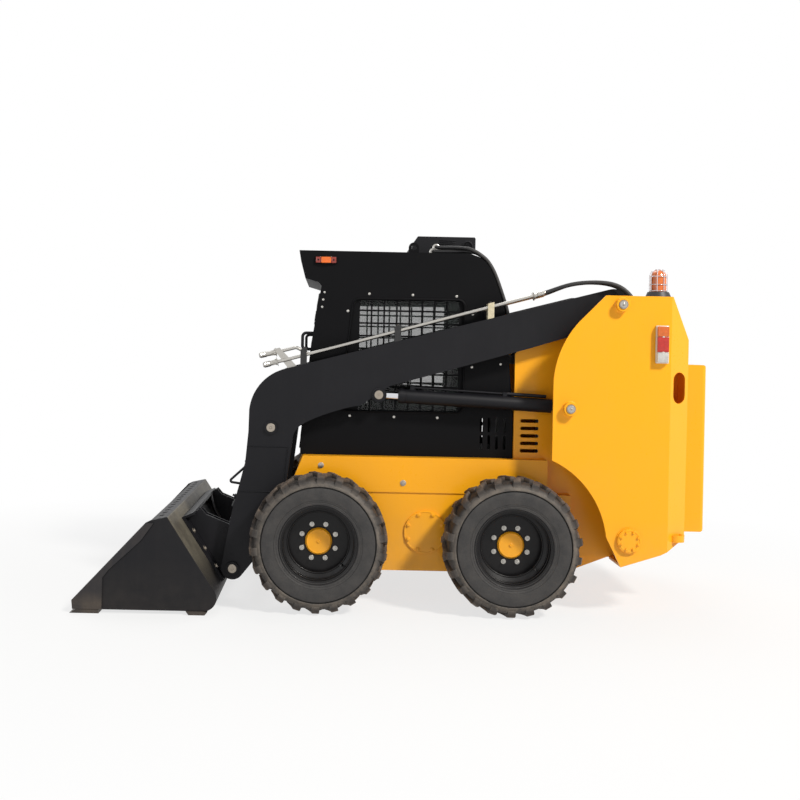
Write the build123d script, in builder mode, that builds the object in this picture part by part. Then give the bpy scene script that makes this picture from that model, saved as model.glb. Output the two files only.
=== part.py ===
"""Skid steer loader: four driven wheels, radial lift arms, quick coupler and dirt bucket.

X points forward, Y to the operator's left and Z up. The origin lies on the ground, at the middle of
the machine's length and width. All sizes are in millimetres.
"""

import math
import os

from build123d import *

os.makedirs("parts", exist_ok=True)

LEFT, RIGHT = 1, -1
SIDES = (("left", LEFT), ("right", RIGHT))

# Wheels: 10-16.5 tyres on eight-bolt rims.
wheelbase = 1080
front_axle_x = 450
tyre_radius = 387.5
tyre_width = 264
bead_radius = 209.5
rim_flange_radius = 226
rim_half_width = 118
rim_wall = 8
disc_face = -18
disc_thickness = 12
hub_bore_radius = 76.2
hub_flange_radius = 130
axle_shaft_radius = 40
axle_tube_radius = 70
running_gap = 0.3
CORNERS = (
    # name, axle x, side
    ("front_left", front_axle_x, LEFT),
    ("front_right", front_axle_x, RIGHT),
    ("rear_left", front_axle_x - wheelbase, LEFT),
    ("rear_right", front_axle_x - wheelbase, RIGHT),
)

# Lower frame: two chain cases joined by a belly pan.
cab_half_width = 460
case_inner_y = cab_half_width - 30
case_outer_y = cab_half_width + 80
frame_bottom_z = 199
seam_z = 650
deck_z = 851
frame_front_x = 620
case_rear_x = -1000
fender_front_x = 552
fender_rear_x = -860
fender_proud = 8
belly_plate = 12
rail_inner_y = cab_half_width - 20
wheel_centre_y = case_outer_y + 180
cover_radius = 122
cover_x = -162
cover_z = 423

# Towers: each lift arm swings in the slot between an inner plate and an outer skin.
cab_to_tower = 10
tower_inner_y = cab_half_width + cab_to_tower
tower_plate = 16
slot_inner_y = tower_inner_y + tower_plate
slot_width = 247
skin_plate = 12
skin_inner_y = slot_inner_y + slot_width
skin_outer_y = skin_inner_y + skin_plate
skin_front_x = -845
tower_top_z = 1800
fold_x = -1499
tail_x = -1631
tail_y = skin_outer_y - 110
wheel_arch_gap = 142
shelf_front_x = -1372
tower_cover = (-1284, 433)
tower_cover_radius = 74
tower_cover_proud = 18
tie_z, tie_radius, tie_bar, tie_height = 424, 44, 14, 38

# Pins of the lift linkage, as (x, z).
arm_pivot = (-1217, 1749)
lift_base = (-937, 1162)
lift_eye = (123, 1211)
tilt_base = (739, 1010)
pin_radius = 25
boss_radius = 37
boss_face_y = skin_outer_y + 45

# Lift arms and the coupler's pivots.
arm_to_tower = 14
arm_inner_y = slot_inner_y + arm_to_tower
arm_width = 70
arm_outer_y = arm_inner_y + arm_width
arm_heel_radius = 98
foot_radius = 66
coupler_pivot = (943, 198)
tilt_eye_reach = 192
tilt_eye_angle = 76
cross_tube = (816, 322)
cross_tube_radius = 50

# Bucket, resting flat on the ground.
bucket_half_width = 890
lip_x = 1800
bucket_top = (1276, 532)
bucket_heel = (1000, 112)
bucket_sheet = 12
side_plate = 16
edge_thickness = 20
edge_depth = 160

# Cylinders.
lift_barrel_radius = 40
lift_bore_radius = 32
lift_rod_radius = 22
lift_barrel_length = 945
lift_stroke = 668
tilt_barrel_radius = 34
tilt_bore_radius = 26
tilt_rod_radius = 17
tilt_barrel_length = 520
tilt_centre_y = arm_inner_y - 54

# Cab: two side plates under a roof sheet that rounds down behind.
cab_plate = 12
cab_front_x = 572
cab_rear_x = -670
roof_z = 2043
visor_x = 600
roof_rear_x = -398
window_top_z = 1770
window_bottom_z = 1110
window_front_x = 343
window_rear_x = -375
door_width = 2 * (cab_half_width - 80)
door_thickness = 28

# Engine cover and rear door.
hood_front = (-735, 1500)
hood_rear = (tail_x + 6, 1433)
rear_door_x = -1800
rear_door_bottom_z = 443
rear_door_top_z = 1420
rear_door_half_width = tower_inner_y - 18


def keep(piece, name):
    """Label a finished piece and write its STEP file."""
    piece.label = name
    export_step(piece, f"parts/{name}.step")


def side_plane(y):
    """A plane across the machine at height y on the Y axis: its own x is X and its own y is Z."""
    return Plane.XZ.offset(-y)


def span(low, high):
    """The extrusion that takes a sketch on side_plane(high) back to y = low."""
    return high - low


def along(start, angle, distance):
    """The point at a distance from start, at an angle in degrees above +X."""
    turn = math.radians(angle)
    return (start[0] + distance * math.cos(turn), start[1] + distance * math.sin(turn))


def bearing(start, end):
    """Length and angle of the line between two pins."""
    dx, dz = end[0] - start[0], end[1] - start[1]
    return math.hypot(dx, dz), math.degrees(math.atan2(dz, dx))


tilt_eye = along(coupler_pivot, tilt_eye_angle, tilt_eye_reach)

# ---------------------------------------------------------------------------------------------
# Wheels
# ---------------------------------------------------------------------------------------------
tyre_half = tyre_width / 2
bead_half = rim_half_width - 12.5
well_radius = 182
TYRE_SECTION = (
    # distance outwards from the wheel's middle, radius
    (-bead_half, bead_radius + 0.5),
    (-bead_half, rim_flange_radius + 2),
    (-tyre_half + 9, rim_flange_radius + 15),
    (-tyre_half, tyre_radius - 95),
    (-tyre_half + 3, tyre_radius - 46),
    (-tyre_half + 20, tyre_radius - 9),
    (-tyre_half + 70, tyre_radius),
)
RIM_SECTION = (
    (rim_half_width, rim_flange_radius),
    (rim_half_width - 10, rim_flange_radius),
    (rim_half_width - 12, bead_radius),
    (30, bead_radius),
    (18, well_radius),
    (-60, well_radius),
    (-72, bead_radius),
    (-rim_half_width + 12, bead_radius),
    (-rim_half_width + 10, rim_flange_radius),
    (-rim_half_width, rim_flange_radius),
    (-rim_half_width, rim_flange_radius - rim_wall),
    (-rim_half_width + 5, bead_radius - rim_wall),
    (-77, bead_radius - rim_wall),
    (-65, well_radius - rim_wall),
    (23, well_radius - rim_wall),
    (35, bead_radius - rim_wall),
    (rim_half_width - 5, bead_radius - rim_wall),
    (rim_half_width, rim_flange_radius - rim_wall),
)
hub_face = disc_face + 14
flange_thickness = 20
tube_end_y = wheel_centre_y + disc_face - disc_thickness - flange_thickness - 15

for corner, axle_x, side in CORNERS:
    wheel_plane = Plane(origin=(axle_x, side * wheel_centre_y, tyre_radius), x_dir=(0, side, 0), z_dir=(side, 0, 0))
    axle_axis = Axis((axle_x, 0, tyre_radius), (0, 1, 0))

    with BuildPart() as tyre:
        with BuildSketch(wheel_plane):
            with BuildLine():
                Polyline(*TYRE_SECTION, *[(-t, r) for t, r in reversed(TYRE_SECTION)], close=True)
            make_face()
        revolve(axis=axle_axis)
    keep(tyre.part, f"tyre_{corner}")

    with BuildPart() as rim:
        with BuildSketch(wheel_plane):
            with BuildLine():
                Polyline(*RIM_SECTION, close=True)
            make_face()
            with Locations((disc_face - disc_thickness / 2, (well_radius - rim_wall / 2 + hub_bore_radius) / 2)):
                Rectangle(disc_thickness, well_radius - rim_wall / 2 - hub_bore_radius)
        revolve(axis=axle_axis)
    keep(rim.part, f"rim_{corner}")

    shaft_start = case_outer_y + 5 - wheel_centre_y
    disc_back = disc_face - disc_thickness
    with BuildPart() as hub:
        with BuildSketch(wheel_plane):
            with BuildLine():
                Polyline(
                    (shaft_start, 0),
                    (hub_face, 0),
                    (hub_face, hub_bore_radius - 8),
                    (hub_face - 8, hub_bore_radius - running_gap),
                    (disc_back, hub_bore_radius - running_gap),
                    (disc_back, hub_flange_radius),
                    (disc_back - flange_thickness, hub_flange_radius),
                    (disc_back - flange_thickness, axle_shaft_radius),
                    (shaft_start, axle_shaft_radius),
                    close=True,
                )
            make_face()
        revolve(axis=axle_axis)
    keep(hub.part, f"hub_{corner}")

# ---------------------------------------------------------------------------------------------
# Lower frame
# ---------------------------------------------------------------------------------------------
rear_axle_x = front_axle_x - wheelbase
engine_rail_z = 540
FRAME_CASE = (
    (frame_front_x, frame_bottom_z + 16),
    (frame_front_x, seam_z),
    (case_rear_x, seam_z),
    (case_rear_x, frame_bottom_z),
    (frame_front_x - 16, frame_bottom_z),
)
FRAME_RAIL = (
    (case_rear_x, frame_bottom_z),
    (case_rear_x, 600),
    (tail_x, 600),
    (tail_x, 436),
    (-1240, 292),
)
BELLY = (
    (frame_front_x, frame_bottom_z),
    (case_rear_x, frame_bottom_z),
    (-1240, 292),
    (tail_x, 436),
    (tail_x, 436 + belly_plate),
    (-1240, 292 + belly_plate),
    (case_rear_x, frame_bottom_z + belly_plate),
    (frame_front_x, frame_bottom_z + belly_plate),
)
with BuildPart() as main_frame:
    for outline, inner_y, outer_y in ((FRAME_CASE, case_inner_y, case_outer_y), (FRAME_RAIL, rail_inner_y, tower_inner_y)):
        with BuildSketch(side_plane(outer_y)):
            with BuildLine():
                Polyline(*outline, close=True)
            make_face()
        extrude(amount=span(inner_y, outer_y))
    mirror(about=Plane.XZ)
    with BuildSketch(side_plane(rail_inner_y)):
        with BuildLine():
            Polyline(*BELLY, close=True)
        make_face()
    extrude(amount=2 * rail_inner_y)
    with BuildSketch(Plane.YZ.offset(frame_front_x - belly_plate)):
        with Locations((0, (frame_bottom_z + seam_z) / 2)):
            Rectangle(2 * rail_inner_y, seam_z - frame_bottom_z)
    extrude(amount=belly_plate)
    for rail_x in (-1050, -1450):
        with BuildSketch(Plane.XY.offset(engine_rail_z)):
            with Locations((rail_x, 0)):
                Rectangle(80, 2 * rail_inner_y)
        extrude(amount=-60)
keep(main_frame.part, "main_frame")

FENDER = (
    (fender_front_x, deck_z),
    (fender_rear_x, deck_z),
    (fender_rear_x, seam_z),
    (frame_front_x, seam_z),
    (600, 730),
)
with BuildPart() as fenders:
    with BuildSketch(side_plane(case_outer_y + fender_proud)):
        with BuildLine():
            Polyline(*FENDER, close=True)
        make_face()
    extrude(amount=span(case_inner_y, case_outer_y + fender_proud))
    with BuildSketch(side_plane(case_outer_y + fender_proud)):
        with Locations((cover_x, cover_z)):
            Circle(cover_radius)
    extrude(amount=fender_proud)
    with BuildSketch(side_plane(case_outer_y + fender_proud + 6)):
        with Locations((cover_x, cover_z)):
            with PolarLocations(cover_radius - 15, 8, start_angle=22.5):
                RegularPolygon(9, 6)
    extrude(amount=6)
    mirror(about=Plane.XZ)
keep(fenders.part, "fenders")

with BuildPart() as axle_tubes:
    for corner, axle_x, side in CORNERS:
        hub_plane = Plane(origin=(axle_x, side * case_outer_y, tyre_radius), x_dir=(1, 0, 0), z_dir=(0, side, 0))
        with BuildSketch(hub_plane):
            Circle(axle_tube_radius + 28)
        extrude(amount=14)
        with BuildSketch(hub_plane):
            Circle(axle_tube_radius)
        extrude(amount=tube_end_y - case_outer_y)
        with BuildSketch(hub_plane):
            Circle(axle_shaft_radius + running_gap)
        extrude(amount=tube_end_y - case_outer_y, mode=Mode.SUBTRACT)
keep(axle_tubes.part, "axle_tubes")

with BuildPart() as engine_block:
    with BuildSketch(Plane.XY.offset(engine_rail_z)):
        with Locations((-1250, 0)):
            Rectangle(640, 520)
    extrude(amount=560)
    fillet(engine_block.edges().filter_by(Axis.Z), 30)
keep(engine_block.part, "engine_block")

# ---------------------------------------------------------------------------------------------
# Towers
# ---------------------------------------------------------------------------------------------
arch_radius = tyre_radius + wheel_arch_gap
arch_top_z = tyre_radius + math.sqrt(arch_radius**2 - (rear_axle_x - skin_front_x) ** 2)
arch_end_x = rear_axle_x - math.sqrt(arch_radius**2 - (450 - tyre_radius) ** 2)
arch_mid = along((rear_axle_x, tyre_radius), 150, arch_radius)
toe = (-1240, 282)
tail_bottom = (tail_x + 6, 436)
shoulder = (-1003, 1670)

INNER_PLATE = (
    (cab_rear_x, deck_z),
    (fender_rear_x, deck_z),
    (fender_rear_x, seam_z),
    (case_rear_x, seam_z),
    (case_rear_x, 290),
    (-1240, 292),
    (tail_x, 436),
    (tail_x, 1559),
    (-1508, tower_top_z),
    (-1090, tower_top_z),
    (-930, 1640),
    (-700, 1500),
    (cab_rear_x, 1460),
)
slot_pitch = 43.5
fold_run = (Vector(tail_x, tail_y, 0) - Vector(fold_x, skin_outer_y, 0)).normalized()
tie_plane = Plane(
    origin=((fold_x + tail_x) / 2, (skin_outer_y + tail_y) / 2, tie_z), x_dir=fold_run, z_dir=(0, 0, 1)
)
POCKET_X, POCKET_Z, POCKET_HALF, POCKET_RISE = -1564, 1245, 44, 88

for name, side in SIDES:
    with BuildPart() as tower:
        with BuildSketch(Plane.XY.offset(200)):
            with BuildLine():
                Polyline((-800, skin_outer_y), (fold_x, skin_outer_y), (tail_x, tail_y), (tail_x, slot_inner_y - 1))
                offset(amount=skin_plate, side=Side.LEFT)
            make_face()
        extrude(amount=tower_top_z)
        with BuildSketch(side_plane(skin_outer_y + 20)):
            with BuildLine():
                Line((skin_front_x, arch_top_z), (skin_front_x, 1270))
                ThreePointArc((skin_front_x, 1270), (-897, 1520), shoulder)
                Polyline(shoulder, (-1130, tower_top_z), (-1508, tower_top_z), (tail_x - 1, 1559))
                Polyline((tail_x - 1, 1559), tail_bottom, (-1463, 353), toe, (arch_end_x, 450))
                ThreePointArc((arch_end_x, 450), arch_mid, (skin_front_x, arch_top_z))
            make_face()
        extrude(amount=span(slot_inner_y - 60, skin_outer_y + 20), mode=Mode.INTERSECT)
        with BuildSketch(side_plane(slot_inner_y)):
            with BuildLine():
                Polyline(*INNER_PLATE, close=True)
            make_face()
            with Locations((-762, 986)):
                with GridLocations(0, slot_pitch, 1, 5):
                    SlotOverall(108, 21, mode=Mode.SUBTRACT)
        extrude(amount=tower_plate)
        with BuildSketch(Plane.XY.offset(tower_top_z)):
            with BuildLine():
                Polyline(
                    (shelf_front_x, slot_inner_y),
                    (shelf_front_x, skin_inner_y),
                    (fold_x, skin_inner_y),
                    (fold_x, slot_inner_y),
                    close=True,
                )
            make_face()
        extrude(amount=-skin_plate)
        with BuildSketch(side_plane(skin_inner_y)):
            with BuildLine():
                Polyline(toe, (-1463, 353), (fold_x, 370), (fold_x, 382), (-1463, 365), (-1240, 294), close=True)
            make_face()
        extrude(amount=span(slot_inner_y, skin_inner_y))
        with BuildSketch(Plane.YZ.offset(-1440)):
            with Locations(((slot_inner_y + skin_inner_y) / 2, 1080)):
                Rectangle(skin_inner_y - slot_inner_y, 1400)
        extrude(amount=10)
        with BuildSketch(side_plane(skin_outer_y + 10)):
            with Locations((POCKET_X, POCKET_Z)):
                Circle(POCKET_HALF)
                Rectangle(2 * POCKET_HALF, POCKET_RISE, align=(Align.CENTER, Align.MIN))
            with Locations((POCKET_X, POCKET_Z + POCKET_RISE)):
                Circle(POCKET_HALF)
        extrude(amount=150, mode=Mode.SUBTRACT)
        with BuildSketch(side_plane(skin_outer_y + 10)):
            with Locations(arm_pivot, lift_base):
                Circle(pin_radius)
        extrude(amount=skin_plate + 20, mode=Mode.SUBTRACT)
        with BuildSketch(side_plane(skin_outer_y + tower_cover_proud)):
            with Locations(tower_cover):
                Circle(tower_cover_radius - 6)
        extrude(amount=tower_cover_proud)
        with BuildSketch(side_plane(skin_outer_y + 4)):
            with Locations(tower_cover):
                Circle(tower_cover_radius)
        extrude(amount=4)
        with BuildSketch(side_plane(skin_outer_y + tower_cover_proud + 5)):
            with Locations(tower_cover):
                with PolarLocations(tower_cover_radius - 17, 8, start_angle=22.5):
                    RegularPolygon(7, 6)
        extrude(amount=5)
        with BuildSketch(tie_plane):
            Circle(tie_radius)
            Circle(tie_radius - tie_bar, mode=Mode.SUBTRACT)
            Rectangle(3 * tie_radius, tie_radius, align=(Align.CENTER, Align.MIN), mode=Mode.SUBTRACT)
        extrude(amount=tie_height)
        if side == RIGHT:
            mirror(about=Plane.XZ, mode=Mode.REPLACE)
    keep(tower.part, f"tower_{name}")

# Each pin runs from the inner plate to a boss on the skin, through a distance collar.
with BuildPart() as tower_pins:
    for pin_x, pin_z in (arm_pivot, lift_base):
        with BuildSketch(side_plane(boss_face_y)):
            with Locations((pin_x, pin_z)):
                Circle(pin_radius)
        extrude(amount=span(slot_inner_y, boss_face_y))
        with BuildSketch(side_plane(boss_face_y - 12)):
            with Locations((pin_x, pin_z)):
                Circle(boss_radius)
        extrude(amount=boss_face_y - 12 - skin_outer_y)
        with BuildSketch(side_plane(skin_inner_y)):
            with Locations((pin_x, pin_z)):
                Circle(boss_radius)
        extrude(amount=skin_inner_y - arm_outer_y - 6)
        with BuildSketch(side_plane(skin_outer_y)):
            with Locations((pin_x, pin_z)):
                Circle(pin_radius)
        extrude(amount=skin_plate)
    mirror(about=Plane.XZ)
keep(tower_pins.part, "tower_pins")

# ---------------------------------------------------------------------------------------------
# Lift arms
# ---------------------------------------------------------------------------------------------
arm_heel_top = along(arm_pivot, 76, arm_heel_radius)
arm_heel_bottom = along(arm_pivot, 256, arm_heel_radius)
foot_front = along(coupler_pivot, 14, foot_radius)
foot_back = along(coupler_pivot, 215, foot_radius)
knee_start, knee_end = (655, 1352), (866, 1110)
eye_radius = 42
eye_half = 23
arm_centre_y = arm_inner_y + arm_width / 2
cheek = 8
pocket_radius = 60
cap_thickness = 12
lug_thickness = 12
tilt_eye_half = 19
tilt_eye_radius = 36
tilt_gap = 7
inner_lug_y = tilt_centre_y - tilt_eye_half - tilt_gap
collar_y = tilt_centre_y + tilt_eye_half + tilt_gap
bridge_rise = 90
HOSE_GUARD = ((880, 782), (979, 690), (895, 679))

for name, side in SIDES:
    with BuildPart() as boom:
        with BuildSketch(side_plane(arm_outer_y)):
            with BuildLine():
                Line(arm_heel_top, knee_start)
                ThreePointArc(knee_start, (803, 1262), knee_end)
                Polyline(knee_end, (868, 985), (883, 807), (953, 524), foot_front, foot_back)
                Polyline(foot_back, (700, 400), (650, 640), (612, 960))
                Spline((612, 960), (520, 1054), (333, 1124), (228, 1146), tangents=[(-0.25, 1), (-1, 0.1)])
                Polyline((228, 1146), (60, 1262), (-742, 1496), arm_heel_bottom, arm_heel_top)
            make_face()
            with Locations(arm_pivot):
                Circle(arm_heel_radius)
            with Locations(coupler_pivot):
                Circle(foot_radius)
            with Locations(lift_eye):
                Circle(boss_radius + 8)
        extrude(amount=arm_width)
        with BuildSketch(side_plane(arm_outer_y - cheek)):
            with Locations(lift_eye):
                Circle(pocket_radius)
                Rectangle(2 * pocket_radius, 200, align=(Align.CENTER, Align.MAX))
                Rectangle(200, 2 * pocket_radius, align=(Align.MAX, Align.CENTER))
        extrude(amount=arm_width - 2 * cheek, mode=Mode.SUBTRACT)
        with BuildSketch(side_plane(arm_outer_y)):
            with Locations(arm_pivot, coupler_pivot):
                Circle(pin_radius + running_gap)
        extrude(amount=arm_width, mode=Mode.SUBTRACT)
        with BuildSketch(side_plane(arm_outer_y + cap_thickness)):
            with Locations(lift_eye, tilt_base):
                Circle(boss_radius)
        extrude(amount=cap_thickness)
        with BuildSketch(side_plane(inner_lug_y)):
            with Locations(tilt_base):
                Circle(boss_radius + 8)
                Rectangle(2 * boss_radius, bridge_rise, align=(Align.CENTER, Align.MIN))
        extrude(amount=lug_thickness)
        with BuildSketch(side_plane(arm_inner_y)):
            with Locations((tilt_base[0], tilt_base[1] + bridge_rise)):
                Rectangle(2 * boss_radius, 24, align=(Align.CENTER, Align.MIN))
        extrude(amount=span(inner_lug_y - lug_thickness, arm_inner_y))
        with BuildSketch(side_plane(arm_inner_y)):
            with Locations(tilt_base):
                Circle(pin_radius)
        extrude(amount=span(inner_lug_y, arm_inner_y))
        with BuildSketch(side_plane(arm_inner_y)):
            with Locations(tilt_base):
                Circle(boss_radius - 3)
        extrude(amount=span(collar_y, arm_inner_y))
        with BuildLine() as guard:
            FilletPolyline(*[(x, arm_centre_y, z) for x, z in HOSE_GUARD], radius=10)
        with BuildSketch(Plane(origin=guard.line @ 0, z_dir=guard.line % 0)):
            Circle(7)
        sweep(path=guard.line)
        if side == RIGHT:
            mirror(about=Plane.XZ, mode=Mode.REPLACE)
    keep(boom.part, f"boom_{name}")

with BuildPart() as cross_member:
    with BuildSketch(side_plane(arm_inner_y)):
        with Locations(cross_tube):
            Circle(cross_tube_radius)
            Circle(cross_tube_radius - 10, mode=Mode.SUBTRACT)
    extrude(amount=2 * arm_inner_y)
keep(cross_member.part, "cross_tube")

# ---------------------------------------------------------------------------------------------
# Coupler and bucket, laid out along the bucket's leaning back wall
# ---------------------------------------------------------------------------------------------
wall_length, wall_angle = bearing(bucket_heel, bucket_top)


def on_wall(up, back):
    """A point measured up the bucket's back wall from its heel, and straight back from it."""
    return along(along(bucket_heel, wall_angle, up), wall_angle + 90, back)


coupler_half_width = arm_outer_y - 5
coupler_plate = 16
coupler_top = 440
outer_ear_y = collar_y
outer_ear_thickness = 16
EAR = (
    on_wall(5, 10),
    on_wall(-2, 95),
    on_wall(40, 138),
    on_wall(180, 196),
    on_wall(222, 206),
    on_wall(262, 196),
    on_wall(378, 115),
    on_wall(425, 108),
    on_wall(425, 10),
)
with BuildPart() as coupler:
    for outline in (
        (on_wall(8, 0), on_wall(coupler_top, 0), on_wall(coupler_top, coupler_plate), on_wall(8, coupler_plate)),
        (
            on_wall(coupler_top - 14, coupler_plate - 1),
            on_wall(coupler_top, coupler_plate - 1),
            on_wall(coupler_top - 10, 74),
            on_wall(coupler_top - 24, 74),
        ),
    ):
        with BuildSketch(side_plane(coupler_half_width)):
            with BuildLine():
                Polyline(*outline, close=True)
            make_face()
        extrude(amount=2 * coupler_half_width)
    for side_y, thickness in ((inner_lug_y, lug_thickness), (outer_ear_y + outer_ear_thickness, outer_ear_thickness)):
        with BuildSketch(side_plane(side_y)):
            with BuildLine():
                Polyline(*EAR, close=True)
            make_face()
        extrude(amount=thickness)
    with BuildSketch(side_plane(arm_outer_y + 18)):
        with Locations(coupler_pivot):
            Circle(pin_radius)
    extrude(amount=span(inner_lug_y, arm_outer_y + 18))
    with BuildSketch(side_plane(arm_outer_y + 18)):
        with Locations(coupler_pivot):
            Circle(boss_radius)
    extrude(amount=cap_thickness)
    with BuildSketch(side_plane(outer_ear_y + outer_ear_thickness + 5)):
        with Locations(coupler_pivot, tilt_eye):
            Circle(boss_radius - 7)
    extrude(amount=5)
    mirror(about=Plane.XZ)
keep(coupler.part, "coupler")

floor_corner_x = bucket_heel[0] - (bucket_heel[1] - edge_thickness) / math.tan(math.radians(wall_angle))
floor_front_x = lip_x - 140
heel_radius = 70
lip_end = (1366, 512)
side_cutter = 10
grip_holes, grip_pitch, grip_radius = 15, 108, 17
side_face_y = bucket_half_width - side_cutter
with BuildPart() as bucket_shell:
    with BuildSketch(side_plane(side_face_y)):
        with BuildLine():
            FilletPolyline(
                (floor_front_x, edge_thickness),
                (floor_corner_x, edge_thickness),
                bucket_top,
                lip_end,
                radius=(heel_radius, 10),
            )
            offset(amount=bucket_sheet, side=Side.RIGHT)
        make_face()
    extrude(amount=2 * side_face_y)
    with BuildSketch(side_plane(side_face_y)):
        with BuildLine():
            shell_line = FilletPolyline(
                (floor_front_x, edge_thickness),
                (floor_corner_x, edge_thickness),
                bucket_top,
                lip_end,
                radius=(heel_radius, 10),
            )
            Polyline(lip_end, (1396, 497), (1790, 70), (1785, edge_thickness), (floor_front_x, edge_thickness))
        make_face()
    extrude(amount=side_plate)
    mirror(about=Plane.XZ)
    with BuildSketch(Plane.XY.offset(bucket_top[1] + 20)):
        with Locations(((bucket_top[0] + lip_end[0]) / 2 + 4, 0)):
            with GridLocations(0, grip_pitch, 1, grip_holes):
                Circle(grip_radius)
    extrude(amount=-80, mode=Mode.SUBTRACT)
keep(bucket_shell.part, "bucket_shell")

SIDE_CUTTER = ((1785, 22), (1790, 70), (1396, 497), (1352, 497), (1420, 400), (1590, 240), (1625, 195), (1625, 22))
EDGE = ((lip_x - edge_depth, 0), (lip_x, 0), (lip_x - 35, edge_thickness), (lip_x - edge_depth, edge_thickness))
HEEL_STRIP = ((1062, 0), (1150, 0), (1165, edge_thickness), (1070, edge_thickness), (1050, 14))
with BuildPart() as wear_parts:
    for outline in (EDGE, HEEL_STRIP):
        with BuildSketch(side_plane(bucket_half_width)):
            with BuildLine():
                Polyline(*outline, close=True)
            make_face()
        extrude(amount=2 * bucket_half_width)
    with BuildSketch(side_plane(bucket_half_width)):
        with BuildLine():
            Polyline(*SIDE_CUTTER, close=True)
        make_face()
    extrude(amount=side_cutter)
    mirror(about=Plane.XZ)
keep(wear_parts.part, "bucket_edges")

# ---------------------------------------------------------------------------------------------
# Cylinders
# ---------------------------------------------------------------------------------------------
CYLINDERS = (
    # name, base pin, rod pin, middle y, base eye half width, rod eye half width, eye radius,
    # barrel radius, bore radius, rod radius, barrel length, piston's place at rest
    ("lift", lift_base, lift_eye, arm_centre_y, 30, eye_half, eye_radius,
     lift_barrel_radius, lift_bore_radius, lift_rod_radius, lift_barrel_length, 90),
    ("tilt", tilt_base, tilt_eye, tilt_centre_y, tilt_eye_half, tilt_eye_half, tilt_eye_radius,
     tilt_barrel_radius, tilt_bore_radius, tilt_rod_radius, tilt_barrel_length, 142),
)
gland_length = 30
bore_start = 60
line_rise = 13
BARREL_LINES = {"lift": ((95, 345, 10), (320, 880, 6)), "tilt": ()}
for (kind, base, eye, centre_y, base_half, rod_half, round_radius,
     barrel_r, bore_r, rod_r, barrel_len, piston_start) in CYLINDERS:
    length, angle = bearing(base, eye)
    print(kind, "cylinder: length", round(length, 1), "angle", round(angle, 2))
    lean = math.radians(angle)
    for name, side in SIDES:
        start = Plane(
            origin=(base[0], side * centre_y, base[1]),
            x_dir=(0, 1, 0),
            z_dir=(math.cos(lean), 0, math.sin(lean)),
        )
        with BuildPart() as barrel:
            with BuildSketch(start.offset(round_radius - 14)):
                Rectangle(2 * base_half, 1.1 * barrel_r)
            extrude(amount=36)
            with BuildSketch(start.offset(round_radius + 20)):
                Circle(barrel_r)
            extrude(amount=barrel_len - round_radius - 20)
            with BuildSketch(start.offset(barrel_len - gland_length)):
                Circle(barrel_r + 3)
            extrude(amount=gland_length)
            with BuildSketch(Plane.XZ.offset(-side * centre_y - base_half)):
                with Locations(base):
                    Circle(round_radius + 4)
            extrude(amount=2 * base_half)
            with BuildSketch(start.offset(bore_start)):
                Circle(bore_r)
            extrude(amount=barrel_len - bore_start - gland_length, mode=Mode.SUBTRACT)
            with BuildSketch(start.offset(bore_start)):
                Circle(rod_r + running_gap)
            extrude(amount=barrel_len, mode=Mode.SUBTRACT)
            with BuildSketch(Plane.XZ.offset(-side * centre_y - base_half)):
                with Locations(base):
                    Circle(pin_radius + running_gap)
            extrude(amount=2 * base_half, mode=Mode.SUBTRACT)
            for line_start, line_end, line_radius in BARREL_LINES[kind]:
                with BuildSketch(start.offset(line_start)):
                    with Locations((0, barrel_r + line_rise)):
                        Circle(line_radius)
                extrude(amount=line_end - line_start)
                with BuildSketch(start.offset(line_end - 24)):
                    with Locations((0, barrel_r - 3)):
                        Rectangle(22, line_rise + 11, align=(Align.CENTER, Align.MIN))
                extrude(amount=24)
        keep(barrel.part, f"{kind}_barrel_{name}")

        with BuildPart() as rod:
            with BuildSketch(start.offset(piston_start)):
                Circle(rod_r)
            extrude(amount=length - piston_start)
            with BuildSketch(start.offset(piston_start)):
                Circle(bore_r - running_gap)
            extrude(amount=gland_length)
            with BuildSketch(Plane.XZ.offset(-side * centre_y - rod_half)):
                with Locations(eye):
                    Circle(round_radius)
            extrude(amount=2 * rod_half)
        keep(rod.part, f"{kind}_rod_{name}")

# ---------------------------------------------------------------------------------------------
# Cab
# ---------------------------------------------------------------------------------------------
post_top_z = 1835
door_lean = 0.12
door_drop = 3
post_depth = 50
post_width = 76
cab_front_top = 467
inside_y = cab_half_width - cab_plate
CAB_SHEET = (
    (375, post_top_z),
    (cab_front_top, post_top_z),
    (482, 1857),
    (562, 1880),
    (588, 1976),
    (visor_x, roof_z),
    (roof_rear_x, roof_z),
    (-448, 2026),
    (-486, 2002),
    (-519, 1961),
    (-545, 1905),
    (-571, 1836),
    (-609, 1718),
    (-669, 1105),
    (-669, deck_z),
)
WINDOW = ((279, 1765), (window_rear_x, window_top_z), (window_rear_x, window_bottom_z), (window_front_x, 1107))
LOUVERS = [(-485 - 45 * column, row_z) for column in range(4) for row_z in (942, 1042)]


def front_line(height):
    """Where the leaning front of the cab lies at a height."""
    return cab_front_top + (post_top_z - height) * door_lean


with BuildPart() as cab_sides:
    with BuildSketch(side_plane(cab_half_width)):
        with BuildLine():
            Polyline(*CAB_SHEET[1:], (572, deck_z), (572, 960), (520, 1500), close=True)
        make_face()
        with BuildSketch(mode=Mode.SUBTRACT) as window_hole:
            with BuildLine():
                Polyline(*WINDOW, close=True)
            make_face()
            fillet(window_hole.vertices(), 40)
        with Locations(*LOUVERS):
            SlotOverall(84, 16, rotation=90, mode=Mode.SUBTRACT)
    extrude(amount=cab_plate)
    mirror(about=Plane.XZ)
keep(cab_sides.part, "cab_sides")

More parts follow.
